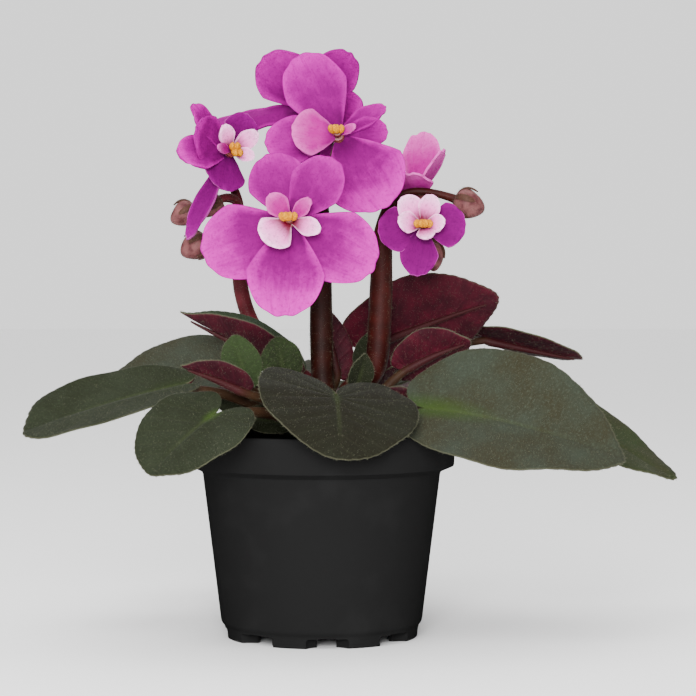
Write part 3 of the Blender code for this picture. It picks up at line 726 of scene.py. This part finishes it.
def leaf(name, junction, tip, width, roll, keel, arch, lobe, azimuth, root, seed):
    """A blade and its stalk as one piece, with its hairs as another."""
    junction, tip = Vector(junction), Vector(tip)
    along = tip - junction
    length = along.length
    along.normalize()
    top = Vector((0, -1, 0)) if along.z > 0.8 else Vector((0, 0, 1))
    top = (top - along * top.dot(along)).normalized()
    top.rotate(Matrix.Rotation(math.radians(roll), 3, along))
    side = along.cross(top)
    half = width / 2
    shift = seed * 3.7
    young = name not in LEAVES
    around, inward = (AROUND // 2, INWARD // 2) if young else (AROUND, INWARD)
    girth = YOUNG_PETIOLE if young else PETIOLE
    taper = OWN_TAPER.get(name, TAPER)

    def surface(x, y):
        fold = keel * half * (math.hypot(x / half, 0.2) - 0.2)
        rise = 4 * arch * (y / length) * (1 - y / length)
        return junction + side * x + along * y + top * (fold + rise)

    def place(u, v):
        reach = (1 - v) / 2
        turn = -u * 0.985 * math.pi
        x, y = heart(turn, length, width, lobe, taper)
        dip = 1 - abs(math.sin(SCALLOPS * turn + math.sin(3 * turn + shift)))
        scallop = 1 - SCALLOP_DEPTH * dip * reach**8
        swell = 1 + SWELL * math.sin(5 * turn + shift) * reach**4
        x, y = x * reach * scallop * swell, y * reach * scallop * swell
        puff = abs(math.sin(math.pi * vein_count(x, y, half, length))) ** 0.7
        quilt = QUILTING * half * puff * min(1, abs(x) / (0.18 * half)) * (1 - reach**6)
        midrib = -GROOVE * math.exp(-((x / 0.9) ** 2)) * (1 - reach**3)
        wave = reach**5 * EDGE_WAVE * half * math.sin(8 * turn + shift)
        wave += reach**3 * SOFT_WAVE * half * noise.noise(Vector((x / 9, y / 9, shift)))
        return at(*(surface(x, y) + top * (quilt + midrib + wave)))

    blade = sheet_from_grid(around, inward, place)
    blade_map = blade.data.uv_layers["UVMap"]
    outwards = numpy.empty(len(blade.data.vertices))
    for i, vertex in enumerate(blade.data.vertices):
        outwards[i] = 1 - (i // (around + 1)) / inward
    reach = blade.data.attributes.new("reach", "FLOAT", "POINT")
    reach.data.foreach_set("value", outwards)
    inside = blade.vertex_groups.new(name="body")
    for i, out_here in enumerate(outwards):
        inside.add([i], 1 - float(out_here) ** 10, "REPLACE")
    for loop in blade.data.loops:
        spot = (blade.data.vertices[loop.vertex_index].co - at(*junction)) / (MM * MAP_ACROSS)
        blade_map.data[loop.index].uv = (0.5 + spot.dot(side), 0.5 + spot.dot(along))
    closed_up(blade, BLADE, 1)
    turn = math.radians(azimuth)
    out = Vector((math.cos(turn), math.sin(turn), 0))
    start = CROWN + out * (CROWN_RADIUS + GAP + 0.9) + Vector((0, 0, root))
    under = surface(0, 0) - top * (BLADE * 0.6 + girth * 0.9)
    straight = (under - start).normalized()
    stem = bent(start, out + Vector((0, 0, 0.5)), along + straight, under, STALK_STEPS)
    radii = [girth * (1 - 0.3 * (i / (STALK_STEPS - 1)) ** 3) for i in range(STALK_STEPS)]
    for i in range(1, MIDRIB_STEPS + 1):
        share = i / MIDRIB_STEPS
        y = length * MIDRIB_END * share
        radius = girth * 0.7 * (1 - share) ** 0.8 + 0.22
        below = 0.5 + BLADE * 0.6 + radius * 0.8
        stem.append(surface(0, y) - top * below)
        radii.append(radius)
    stalk = tube(stem, radii)
    behind = stalk.data.attributes.new("reach", "FLOAT", "POINT")
    for i, vertex in enumerate(stalk.data.vertices):
        past = (vertex.co - at(*junction)).dot(along) / MM
        behind.data[i].value = 0.9 * min(1, max(0, 0.5 + past / 4))
    for item in (blade, stalk):
        pick(item)
        bpy.ops.object.shade_smooth()
    *blade_finishes, stalk_finish = leaf_finishes(name, length, half,
                                                  *LEAF_COLOURS.get(name, YOUNG_COLOURS))
    for finish in blade_finishes:
        blade.data.materials.append(finish)
    stalk.data.materials.append(stalk_finish)
    size = length * width
    whole = one_piece([blade, stalk])
    shown(whole, name + "_blade", "leaf", *(() if young else (name,)))
    furred(whole, name + "_hairs", int(size * HAIRS_PER_AREA) + 400, HAIR_LENGTH, seed, "leaf",
           HAIR_GIRTH, int(FRINGE * width) + 100, DROOP)


# The youngest leaves round the crown, still folded and 8 to 16 mm long: where each blade starts,
# its tip, width, roll, keel, arch and lobe, and where its stalk leaves the crown.
# The third to fifth, lying low and flat, are partly young leaves and partly dark fill that stands in for the
# shade in the gaps between the rim, the crown and the front leaves.
YOUNG = [((9, -7, 65.5), (11.5, -8, 73.5), 6.5, 15, 0.5, 0.5, 1.5, 300, 60.5),
         ((11.8, 9.7, 69), (14.3, 10.9, 79), 9, 0, 0.3, 0.5, 2, 42, 63),
         ((-9, -8, 56), (-22, -12, 57.5), 8, -62, 0.2, 0.5, 2, 222, 54),
         ((-13.3, -0.3, 60.5), (-28.5, -0.7, 61.5), 10, -66, 0.1, 0.5, 2, 184, 58),
         ((-11.9, 11.1, 59), (-26.5, 17.9, 62), 11, -60, 0.1, 0.5, 2, 147, 56),
         ((14, -6, 58.5), (24, -10, 64.5), 9, -35, 0.4, 0.5, 2, 335, 54),
         ((13, 9, 63), (25, 13, 70), 10, -30, 0.3, 0.5, 2, 30, 57),
         ((-6, 12, 61), (-12, 16, 71), 9, 10, 0.3, 0.5, 2, 130, 56)]


for number, (name, shape) in enumerate(LEAVES.items()):
    leaf(name, *shape, number + 1)
for number, shape in enumerate(YOUNG):
    leaf("young_leaf_%d" % (number + 1), *shape, number + 31)

# ---------------------------------------------------------------------------------------------
# Flower stalks: three thick reddish brown stems, finely hairy, that rise from the crown and branch
# into thin bloom stems. Each ends in a cup of five narrow sepals, or in a closed bud.
# Each stalk's dark and light streak colour. The centre stalk's are darker with painted shade, since it
# stands in the shade of the blooms above it.
STALK_TONES_AND_SHADE = {"left": (rgb(64, 15, 22), rgb(90, 30, 38)),
                 "centre": (rgb(25, 4, 1), rgb(40, 9, 4)),
                 "right": (rgb(34, 4, 2), rgb(52, 10, 6))}
STALKS = {
    "left": [((-0.5, 4.6, 62.7), 1.6), ((-1.5, 5.2, 65), 1.8), ((-8, 7, 70), 1.9), ((-17, 8, 79), 2.0),
             ((-21.3, 8, 90), 2.0), ((-21.7, 6, 104), 1.9), ((-21.5, 4, 112), 1.7)],
    "centre": [((1.2, -0.3, 62.8), 2.4), ((0.2, 0.5, 68), 2.9), ((-0.1, 0, 80), 3.0),
               ((-0.1, 0, 92), 2.8), ((0, 2, 104), 2.3), ((0, 4, 112), 1.9)],
    "right": [((5.6, 3.0, 63.6), 1.7), ((7.6, 3.0, 64.8), 2.2), ((12.2, 2.6, 67), 2.7), ((14.6, 2, 73), 3.0),
              ((15.5, 1, 90), 3.0), ((16, 0, 104), 2.6), ((18, 0, 112), 1.9)],
}
TUBE_BACK = 2.7
CUP = 2.4
PEDICEL = 1.2
BUD_STEM = 0.95
STEM_STEPS = 20
SEPALS = 5
STALK_HAIRS = 3400
STALK_HAIR_LENGTH = 0.8
STALK_HAIR_GIRTH = 0.026

# Each bloom: its stalk, its throat, the way it faces, its petals, its pale inner petals and its
# anthers. A petal is its angle round the throat, length, width, lift, curve and twist.
BLOOMS = {
    "front": ("centre", (-7.5, -27, 107.5), (-0.05, -1, 0.12),
              [(108, 18, 15, 1, -1, 0), (54, 19, 14, 2, -1, 0), (202, 23.5, 20, 0.5, -2, 0),
               (266, 24, 20, 2, -1, 0), (332, 24, 19, 0.5, -2, 0)],
              [(226, 8.5, 10, 5, 0, 0), (338, 8.5, 5, 4, 0, 0), (130, 7.5, 6, 4, 1, 0),
               (40, 7, 4, 4, 1, 0)],
              [(160, 3.8), (30, 3.2)]),
    "top": ("centre", (4.3, -9, 129.6), (-0.05, -1, 0.25),
            [(115, 24, 17, 3, -1, 0), (8, 13, 9, 2, -3, 35), (36, 15, 7, 2, -3, -25),
             (184, 19, 13, 1, -1, 0), (304, 22.5, 22, 2, -1, 0)],
            [(180, 11.5, 14, 4, 1, 15), (20, 5, 2.5, 3, 0, 0)],
            [(150, 3.4), (50, 2.8)]),
    "rear": ("centre", (-2.6, 6, 138), (0.05, 0.9, 0.4),
             [(50, 19, 16, 1, -1, 0), (124, 19, 13, 1, -2, 0), (-11, 31, 9, 0, 0, 70),
              (262, 16, 15, 1, -1, 0), (190, 14, 14, 1, -1, 0)],
             [(90, 6, 5, 3, 0, 0), (210, 6, 5, 3, 0, 0), (305, 5, 4, 3, 0, 0)],
             [(110, 3.0), (40, 3.0)]),
    "left": ("left", (-23.8, -5, 126), (0.5, -0.85, 0.1),
             [(184, 16.5, 11, 1, 3, 30), (134, 16, 9, 0, 3, 30), (160, 13, 13, 1, 6, 0),
              (250, 11, 12, 2, 1, 0), (238, 27, 5, 0, 2, 40), (60, 11, 10, 2, 0, 0)],
             [(118, 7, 5, 3, 0, 0), (35, 8, 5, 3, 0, 0), (340, 5.5, 4, 3, 0, 0),
              (178, 6, 3, 4.6, 0, 0)],
             [(150, 3.6), (250, 4.0)]),
    "low": ("right", (26.0, -12, 106.5), (0.0, -0.97, 0.2),
            [(188, 11.5, 12, 1, 0, 0), (2, 11, 12, 1, 0, 0), (262, 13, 10, 1, -1, 0)],
            [(130, 8.5, 7, 4, 0, 0), (70, 7.5, 6, 4, 0, 0), (175, 6.5, 6, 4, 0, 0),
             (0, 5.5, 5, 4, 0, 0), (285, 4.5, 5, 4, 0, 0)],
            [(205, 4.0), (335, 3.8)]),
    "high": ("right", (25.5, 6.5, 115.5), (-0.1, -0.3, 0.94),
             [(90, 9.5, 11, 14, 1, 0), (190, 8, 10, 9, 2, 0), (350, 8, 11, 11, 2, 0),
              (270, 9, 12, 7, 2, 0)],
             [], []),
}
BUDS = [
    ("right", (34.5, 0, 114.0), (0.9, 0, -0.35), 8.5, 3.8),
    ("right", (28.5, -1, 103), (0.1, 0, -1), 8, 3.0),
    ("left", (-26, -2, 114), (-0.75, -0.1, -0.5), 7.5, 3.0),
    ("left", (-33, 2, 112), (-0.8, 0, -0.5), 7.5, 3.2),
    ("left", (-29.5, -3, 103.5), (-0.8, -0.1, -0.5), 8, 3.6),
]


def smoothed(points, steps):
    """Points with their radii, with steps more between each two, on a smooth line through them."""
    ends = [points[0]] + points + [points[-1]]
    line, girth = [], []
    for i in range(1, len(ends) - 2):
        (p0, _), (p1, r1), (p2, r2), (p3, _) = ends[i - 1:i + 3]
        p0, p1, p2, p3 = Vector(p0), Vector(p1), Vector(p2), Vector(p3)
        for j in range(steps):
            t = j / steps
            line.append(0.5 * (2 * p1 + (p2 - p0) * t + (2 * p0 - 5 * p1 + 4 * p2 - p3) * t * t
                               + (3 * p1 - p0 - 3 * p2 + p3) * t**3))
            girth.append(r1 + (r2 - r1) * t)
    line.append(Vector(points[-1][0]))
    girth.append(points[-1][1])
    return line, girth


def petal(throat, facing, shape, cells, thickness, seed, ruffle=0.028, scallop=0.007, claw=0.35):
    """One rounded petal, narrow at the throat; lift and curve bring its end forward, the twist
    grows from the throat, and its edge is softly ruffled."""
    angle, length, width, lift, curve, twist = shape
    ahead = Vector(facing).normalized()
    right = Vector((0, 0, 1)).cross(ahead).normalized()
    up = ahead.cross(right)
    turn = math.radians(angle)
    out = right * math.cos(turn) + up * math.sin(turn)
    around = out.cross(ahead)
    throat = Vector(throat)
    shift = Vector((seed * 1.7, seed * 2.3, seed * 0.9))

    def place(u, v):
        across = u * math.sqrt(1 - v * v / 2)
        along = (1 + v * math.sqrt(1 - u * u / 2)) / 2
        edge = max(abs(u), v if v > 0 else 0) * min(1, along / 0.3)
        round_edge = math.atan2(across, along - 0.45)
        wave = math.sin(7 * round_edge + shift.x) + 0.6 * math.sin(12 * round_edge + shift.y)
        lobes = 1 + scallop * math.sin(9 * round_edge + shift.z) * edge**4
        lobes += 3.0 * scallop * noise.noise(Vector((round_edge * 1.1, 0, 0)) + shift) * edge**3
        across, along = across * lobes, along * (1 + (lobes - 1) * min(1, along / 0.5))
        narrow = claw + (1 - claw) * min(1, along / 0.55)
        sideways = across * narrow * width / 2
        cup = 0.06 * length * across * across * along
        soft = noise.noise(Vector((across * 1.6, along * 2.2, 0)) + shift) * 0.035 * width * along
        crease = -0.018 * width * math.exp(-((across / 0.16) ** 2)) * (1 - along)
        curl = -0.05 * width * max(0, edge - 0.72) / 0.28 * min(1, along)
        cup += soft + crease + curl + ruffle * width * edge**5 * wave * 0.5
        turned_by = math.radians(twist) * min(1, along / 0.4)
        return at(*(throat + out * (along * length) + ahead * (lift * along + curve * along * along)
                    + around * (sideways * math.cos(turned_by) + cup * math.sin(turned_by))
                    + ahead * (cup * math.cos(turned_by) - sideways * math.sin(turned_by))))

    made = sheet_from_grid(cells, cells, place)
    return closed_up(made, thickness)


def plug(centre, facing, radius, depth, sides=24):
    """A short round plug with rounded edges, its front face at the centre given."""
    ahead = Vector(facing).normalized()
    start_fresh()
    bpy.ops.mesh.primitive_cylinder_add(vertices=sides, radius=radius * MM, depth=depth * MM,
                                        location=at(*(Vector(centre) - ahead * depth / 2)))
    made = bpy.context.active_object
    made.rotation_euler = ahead.to_track_quat("Z", "Y").to_euler()
    bpy.ops.object.transform_apply(location=True, rotation=True, scale=True)
    bpy.ops.object.mode_set(mode="EDIT")
    bpy.ops.mesh.select_all(action="SELECT")
    bpy.ops.mesh.bevel(offset=min(radius, depth) * 0.25 * MM, segments=3, affect="EDGES")
    bpy.ops.object.mode_set(mode="OBJECT")
    return made


def bud(foot, pointing, length, radius, seed):
    """A closed bud: folded petals in an egg shape, held by five narrow sepals."""
    start_fresh()
    bpy.ops.mesh.primitive_uv_sphere_add(segments=48, ring_count=28, radius=1, location=(0, 0, 0))
    body = bpy.context.active_object
    way = Vector(pointing).normalized().to_track_quat("Z", "Y").to_matrix()
    for vertex in body.data.vertices:
        co = vertex.co
        height = (co.z + 1) / 2
        turn = math.atan2(co.y, co.x)
        folds = 1 - 0.10 * abs(math.sin(1.5 * turn + 2.2 * height + seed)) ** 3 * (0.3 + height)
        slim = (1.02 - 0.28 * co.z) * folds
        local = Vector((co.x * radius * slim, co.y * radius * slim, height * length))
        vertex.co = at(*(Vector(foot) + way @ local))
    parts = [body]
    for i in range(SEPALS):
        turn = math.radians(72 * i + 20 * seed)
        out = way @ Vector((math.cos(turn), math.sin(turn), 0))
        ahead = way @ Vector((0, 0, 1))
        around = ahead.cross(out)

        def place(u, v):
            along = (v + 1) / 2
            half = 0.34 * radius * (1 - along) ** 0.6 * (0.55 + along)
            height = along * length * 0.62
            share = height / length * 2 - 1
            round_bud = math.sqrt(max(0, 1 - share * share)) * (1.02 - 0.28 * share)
            away = radius * round_bud + 0.25 + 0.3 * along
            sag = 1 - 0.25 * u * u * half / radius
            return at(*(Vector(foot) + out * (away * sag) + ahead * height + around * (u * half)))

        parts.append(closed_up(sheet_from_grid(5, 12, place), 0.35))
    return parts


def flower_stalk(name, seed):
    """A stalk with its thin bloom stems, calyxes and buds."""
    line, girth = smoothed(STALKS[name], 6)
    parts = [tube(line, girth, 6)]
    calyxes, buds = [], []
    fork = Vector(STALKS[name][-1][0])
    rising = fork - Vector(STALKS[name][-2][0])
    last = STEM_STEPS - 1
    for stalk, throat, facing, *_ in BLOOMS.values():
        if stalk == name:
            ahead = Vector(facing).normalized()
            end = Vector(throat) - ahead * (TUBE_BACK + GAP + CUP - 0.6)
            path = bent(fork - rising.normalized(), rising, ahead, end, STEM_STEPS)
            parts.append(tube(path, [PEDICEL + 0.25 * (i / last) ** 4 for i in range(STEM_STEPS)]))
            seat = Vector(throat) - ahead * (TUBE_BACK + GAP)
            calyxes.append(plug(seat, facing, 1.9, CUP))
            for i in range(SEPALS):
                calyxes.append(petal(seat - ahead * 0.9, facing, (36 + 72 * i, 5.6, 2.1, 0.3, -1.0, 0),
                                     8, 0.35, seed + i, 0.0, 0.0, claw=0.9))
    for number, (stalk, foot, pointing, length, radius) in enumerate(BUDS):
        if stalk == name:
            end = Vector(foot) + Vector(pointing).normalized()
            path = bent(fork - rising.normalized(), rising, pointing, end, STEM_STEPS)
            parts.append(tube(path, [BUD_STEM + 0.3 * (i / last) ** 6 for i in range(STEM_STEPS)]))
            buds.append(bud(foot, pointing, length, radius, number + 1))
    dark, light = STALK_TONES_AND_SHADE[name]
    stem = new_finish("stalk_" + name)
    streaks = grain(220, 4)
    warm = grain(1500, 3)
    finish_with(stem, mixed(streaks.eased(0.3, 0.75), dark, light), 0.5 + 0.15 * warm, warm, 0.12, 0.5,
                DULL)
    sepal = new_finish("sepals_" + name)
    flecks = grain(900, 4)
    finish_with(sepal, mixed(flecks, rgb(44, 26, 20), rgb(78, 50, 40)), 0.6, flecks, 0.12, 0.5, DULL)
    closed = new_finish("buds_" + name)
    blush = grain(420, 3)
    finish_with(closed, mixed(blush.eased(0.3, 0.7), rgb(66, 30, 34), rgb(108, 66, 66)), 0.55,
                grain(1800, 3), 0.1, 0.5, DULL)
    for part in parts:
        part.data.materials.append(stem)
    for part in calyxes:
        part.data.materials.append(sepal)
    for body, *sepals in buds:
        body.data.materials.append(closed)
        for part in sepals:
            part.data.materials.append(sepal)
    whole = one_piece(parts + calyxes + sum(buds, []))
    pick(whole)
    bpy.ops.object.shade_smooth_by_angle(angle=math.radians(50))
    shown(whole, "flower_stalk_" + name, "flower_stalk", "stalk_" + name)
    furred(whole, "stalk_%s_hairs" % name, STALK_HAIRS, STALK_HAIR_LENGTH, 40 + seed, "flower_stalk",
           STALK_HAIR_GIRTH)


for number, name in enumerate(STALKS):
    flower_stalk(name, number + 1)

# ---------------------------------------------------------------------------------------------
# Blooms: each has a short tube with large ruffled purple petals, a second ring of small pale
# petals at the throat, and yellow two-lobed anthers. Petals are thin, moist and faintly veined.
PETAL = 0.55
TUBE_FRONT = 0.3
SEAT = 0.9
BIG_PETAL = 17
ANTHER_RADIUS = 1.35

# How pale the end of each bloom's petals is, from 0, purple to the edge, to 1, pale pink
PALE_ENDS = {"front": [0.25, 0.25, 0.8, 1.0, 0.85], "top": [0.5, 0.35, 0.3, 0.45, 0.85],
             "rear": [0.5, 0.3, 0.25, 0.4, 0.7], "left": [0.7, 0.6, 0.4, 0.15, 0.3, 0.3],
             "low": [0.1, 0.15, 0.1], "high": [0.8, 0.7, 0.75, 0.8]}
# Inner petals as pink as the outer ones
PINK_INNER = (("top", 0), ("top", 1), ("front", 2), ("front", 3), ("left", 3))


def petal_finish(name, deep, full, pale, edge_colour, throat_end=0.4):
    """A petal's colour, deeper near the throat and paler to its end, with fine darker veins and specks and a
    thin deeper line along the edge, which on the plain purple petals is painted shade where they overlap
    other petals."""
    made = new_finish(name)
    across, along, _ = split(Shade.node("UVMap", {"uv_map": "UVMap"}, {}))
    across = across * 2 - 1
    paleness = written("paleness")
    shift = written("petal_number")
    place = Shade.node("CombineXYZ", {}, {0: across * 9 + shift * 7.3, 1: along * 1.6, 2: shift * 3.1})
    streaks = grain(1.0, 4, place, 0.6)
    mottled = grain(300, 5, roughness=0.65)
    specks = grain(1500, 3, roughness=0.6)
    edge = abs(across).maths("MAXIMUM", along * 2 - 1)
    reach = along + (mottled - 0.5) * 0.4 + (streaks - 0.5) * 0.5
    outer = reach.eased(0.42, 1.05)
    rim = (edge + (mottled - 0.5) * 0.35).eased(0.62, 1.02)
    base = mixed(along.eased(throat_end / 4, throat_end), deep, full)
    base = mixed(outer * paleness, base, pale)
    base = mixed(rim * (0.2 + 0.5 * paleness), base, pale)
    base = mixed(streaks.eased(0.5, 0.7) * 0.3, base, deep)
    base = mixed(mottled.eased(0.4, 0.7) * 0.08, base, pale)
    base = mixed(specks.eased(0.52, 0.68) * 0.3, base, deep)
    # The edge line: on the purple petals it is painted shade where petals overlap
    base = mixed(edge.eased(0.965, 0.995) * 0.5, base, edge_colour)
    finish_with(made, base, 0.5 + 0.2 * specks, streaks * 0.8 + specks * 0.5, 0.16, 0.7,
                {"Specular IOR Level": 0.02})
    return made


# Plain purple petals: their edge colour, deeper than their pale end, is painted shade where petals overlap
petal_purple = petal_finish("petal_purple", rgb(78, 0, 66), rgb(102, 0, 86), rgb(184, 4, 154),
                            rgb(96, 0, 84))
petal_deep = petal_finish("petal_deep", rgb(60, 0, 54), rgb(88, 0, 76), rgb(130, 4, 114),
                          rgb(178, 74, 156))
petal_pink = petal_finish("petal_pink", rgb(108, 0, 84), rgb(150, 6, 116), rgb(200, 78, 162),
                          rgb(188, 70, 158))
petal_inner = petal_finish("petal_inner", rgb(92, 6, 26), rgb(228, 112, 188), rgb(250, 192, 232),
                           rgb(216, 104, 180), 0.62)
throat_red = new_finish("throat_red")
throat_grain = grain(1500, 3)
finish_with(throat_red, mixed(throat_grain, rgb(66, 6, 22), rgb(120, 44, 26)), 0.5, throat_grain, 0.1, 0.5)
pollen = new_finish("anther_yellow")
pollen_grain = grain(2600, 3)
finish_with(pollen, mixed(pollen_grain.eased(0.35, 0.7), rgb(164, 100, 0), rgb(196, 132, 0)), 0.6,
            pollen_grain, 0.15, 0.8, {"Specular IOR Level": 0.1})

# Blooms whose large petals aren't plain purple, and single petals of the deeper kind
MAIN_FINISHES = {"high": petal_pink, "low": petal_deep}
DEEP_PETALS = (("left", 3), ("left", 4), ("left", 5))


def marked(part, paleness, number):
    """Writes on a petal how pale its end is and which petal it is, for its finish."""
    for name, value in (("paleness", paleness), ("petal_number", float(number))):
        mark = part.data.attributes.new(name, "FLOAT", "POINT")
        mark.data.foreach_set("value", [value] * len(part.data.vertices))
    return part


def anther(foot, pointing, length, radius):
    """A yellow anther of two joined sacs, with a groove between them."""
    start_fresh()
    bpy.ops.mesh.primitive_uv_sphere_add(segments=28, ring_count=18, radius=1, location=(0, 0, 0))
    made = bpy.context.active_object
    way = Vector(pointing).normalized().to_track_quat("Z", "Y").to_matrix()
    for vertex in made.data.vertices:
        co = vertex.co
        groove = 1 - 0.42 * math.exp(-((co.x / 0.22) ** 2))
        local = Vector((co.x * radius * 1.15, co.y * radius * 0.9 * groove,
                        (co.z * groove + 1) / 2 * length))
        vertex.co = at(*(Vector(foot) + way @ local))
    return made


def ended(parts, name, slot, node):
    """Joins a bloom's parts, smooths them and shows them as one piece."""
    whole = one_piece(parts)
    pick(whole)
    bpy.ops.object.shade_smooth_by_angle(angle=math.radians(60))
    shown(whole, name, slot, node)


def bloom(name, throat, facing, petals, inner, anthers, seed):
    """A bloom in up to three pieces: its large petals, its pale inner petals and its anthers."""
    ahead = Vector(facing).normalized()
    throat = Vector(throat)
    right = Vector((0, 0, 1)).cross(ahead).normalized()
    up = ahead.cross(right)
    tube_plug = marked(plug(throat + ahead * TUBE_FRONT, facing, 1.8, TUBE_FRONT + TUBE_BACK), 0, 0)
    tube_plug.data.materials.append(throat_red)
    parts = [tube_plug]
    for i, (shape, paleness) in enumerate(zip(petals, PALE_ENDS[name])):
        cells = 34 if shape[1] > BIG_PETAL else 26
        made = petal(throat, facing, shape, cells, PETAL, seed * 10 + i)
        marked(made, paleness, seed * 10 + i)
        deep = (name, i) in DEEP_PETALS
        made.data.materials.append(petal_deep if deep else MAIN_FINISHES.get(name, petal_purple))
        parts.append(made)
    ended(parts, "bloom_%s_outer" % name, "purple_petal", "bloom_%s_petals" % name)
    if inner:
        seat = throat + ahead * (TUBE_FRONT + GAP + SEAT)
        hub = marked(plug(seat, facing, 1.7, SEAT), 0, 0)
        hub.data.materials.append(throat_red)
        parts = [hub]
        for i, shape in enumerate(inner):
            made = petal(seat - ahead * 0.2, facing, shape, 22, PETAL * 0.9, seed * 20 + i, 0.03, 0.005)
            marked(made, 0.6, seed * 20 + i)
            pink = (name, i) in PINK_INNER
            made.data.materials.append(petal_pink if pink else petal_inner)
            parts.append(made)
        ended(parts, "bloom_%s_double" % name, "pale_petal", "bloom_%s_inner" % name)
    if anthers:
        seat = throat + ahead * (TUBE_FRONT + GAP + SEAT + GAP + 2.0)
        stub = plug(seat, facing, 1.1, 1.6)
        stub.data.materials.append(throat_red)
        parts = [stub]
        for angle, size in anthers:
            turn = math.radians(angle)
            out = right * math.cos(turn) + up * math.sin(turn)
            made = anther(seat - ahead * 0.4, out * 0.6 + ahead, size, ANTHER_RADIUS)
            made.data.materials.append(pollen)
            parts.append(made)
        ended(parts, "bloom_%s_stamens" % name, "anther", "bloom_%s_anthers" % name)


for number, (name, (_, *form)) in enumerate(BLOOMS.items()):
    bloom(name, *form, number + 1)

# ---------------------------------------------------------------------------------------------
# Floor, light and camera: a plain pale floor, large soft lamps in front and above, and a long
# lens a little above the rim, level with the front of the plant.
CAMERA_AWAY = 600.0
CAMERA_HEIGHT = 92.0
CAMERA_RIGHT = 6.9
AIM_HEIGHT = 75.06
LENS = 118.9
SENSOR = 36.0
FLOOR_ACROSS = 8.0

start_fresh()
bpy.ops.mesh.primitive_plane_add(size=FLOOR_ACROSS, location=(0, 0, 0))
floor = bpy.context.active_object
floor.name = "floor"
floor_finish = new_finish("floor_white")
finish_with(floor_finish, rgb(246, 246, 246), 0.9)
floor.data.materials.append(floor_finish)

world = bpy.data.worlds.new("studio")
bpy.context.scene.world = world
world.use_nodes = True
Shade.tree = world.node_tree
across, _, upward = split(Shade.node("TexCoord", {}, {}))
sideways = abs(across)
surround = world.node_tree.nodes["Background"]
surround.inputs["Color"].default_value = (1, 1, 1, 1)
daylight = 1.4 - 1.15 * sideways.eased(0.2, 0.7) + 1.2 * upward.eased(0.5, 0.95)
world.node_tree.links.new(daylight.socket, surround.inputs["Strength"])


def lamp(x, y, z, aim_z, size, power):
    """A square lamp that looks at the pot's axis at a height, all in millimetres and watts."""
    start_fresh()
    bpy.ops.object.light_add(type="AREA", location=at(x, y, z))
    light = bpy.context.active_object
    light.data.shape = "SQUARE"
    light.data.size = size * MM
    light.data.energy = power
    way = at(0, 0, aim_z) - light.location
    light.rotation_euler = way.to_track_quat("-Z", "Y").to_euler()


lamp(-40, -740, 240, 80, 260, 10.5)
lamp(-220, -480, 640, 90, 300, 3)
lamp(0, 250, 700, 90, 600, 1)

start_fresh()
bpy.ops.object.camera_add(location=at(CAMERA_RIGHT, -CAMERA_AWAY, CAMERA_HEIGHT))
camera = bpy.context.active_object
aim = at(CAMERA_RIGHT, 0, AIM_HEIGHT) - camera.location
camera.rotation_euler = aim.to_track_quat("-Z", "Y").to_euler()
camera.data.lens = LENS
camera.data.sensor_width = SENSOR
camera.data.clip_start = 0.01
bpy.context.scene.camera = camera
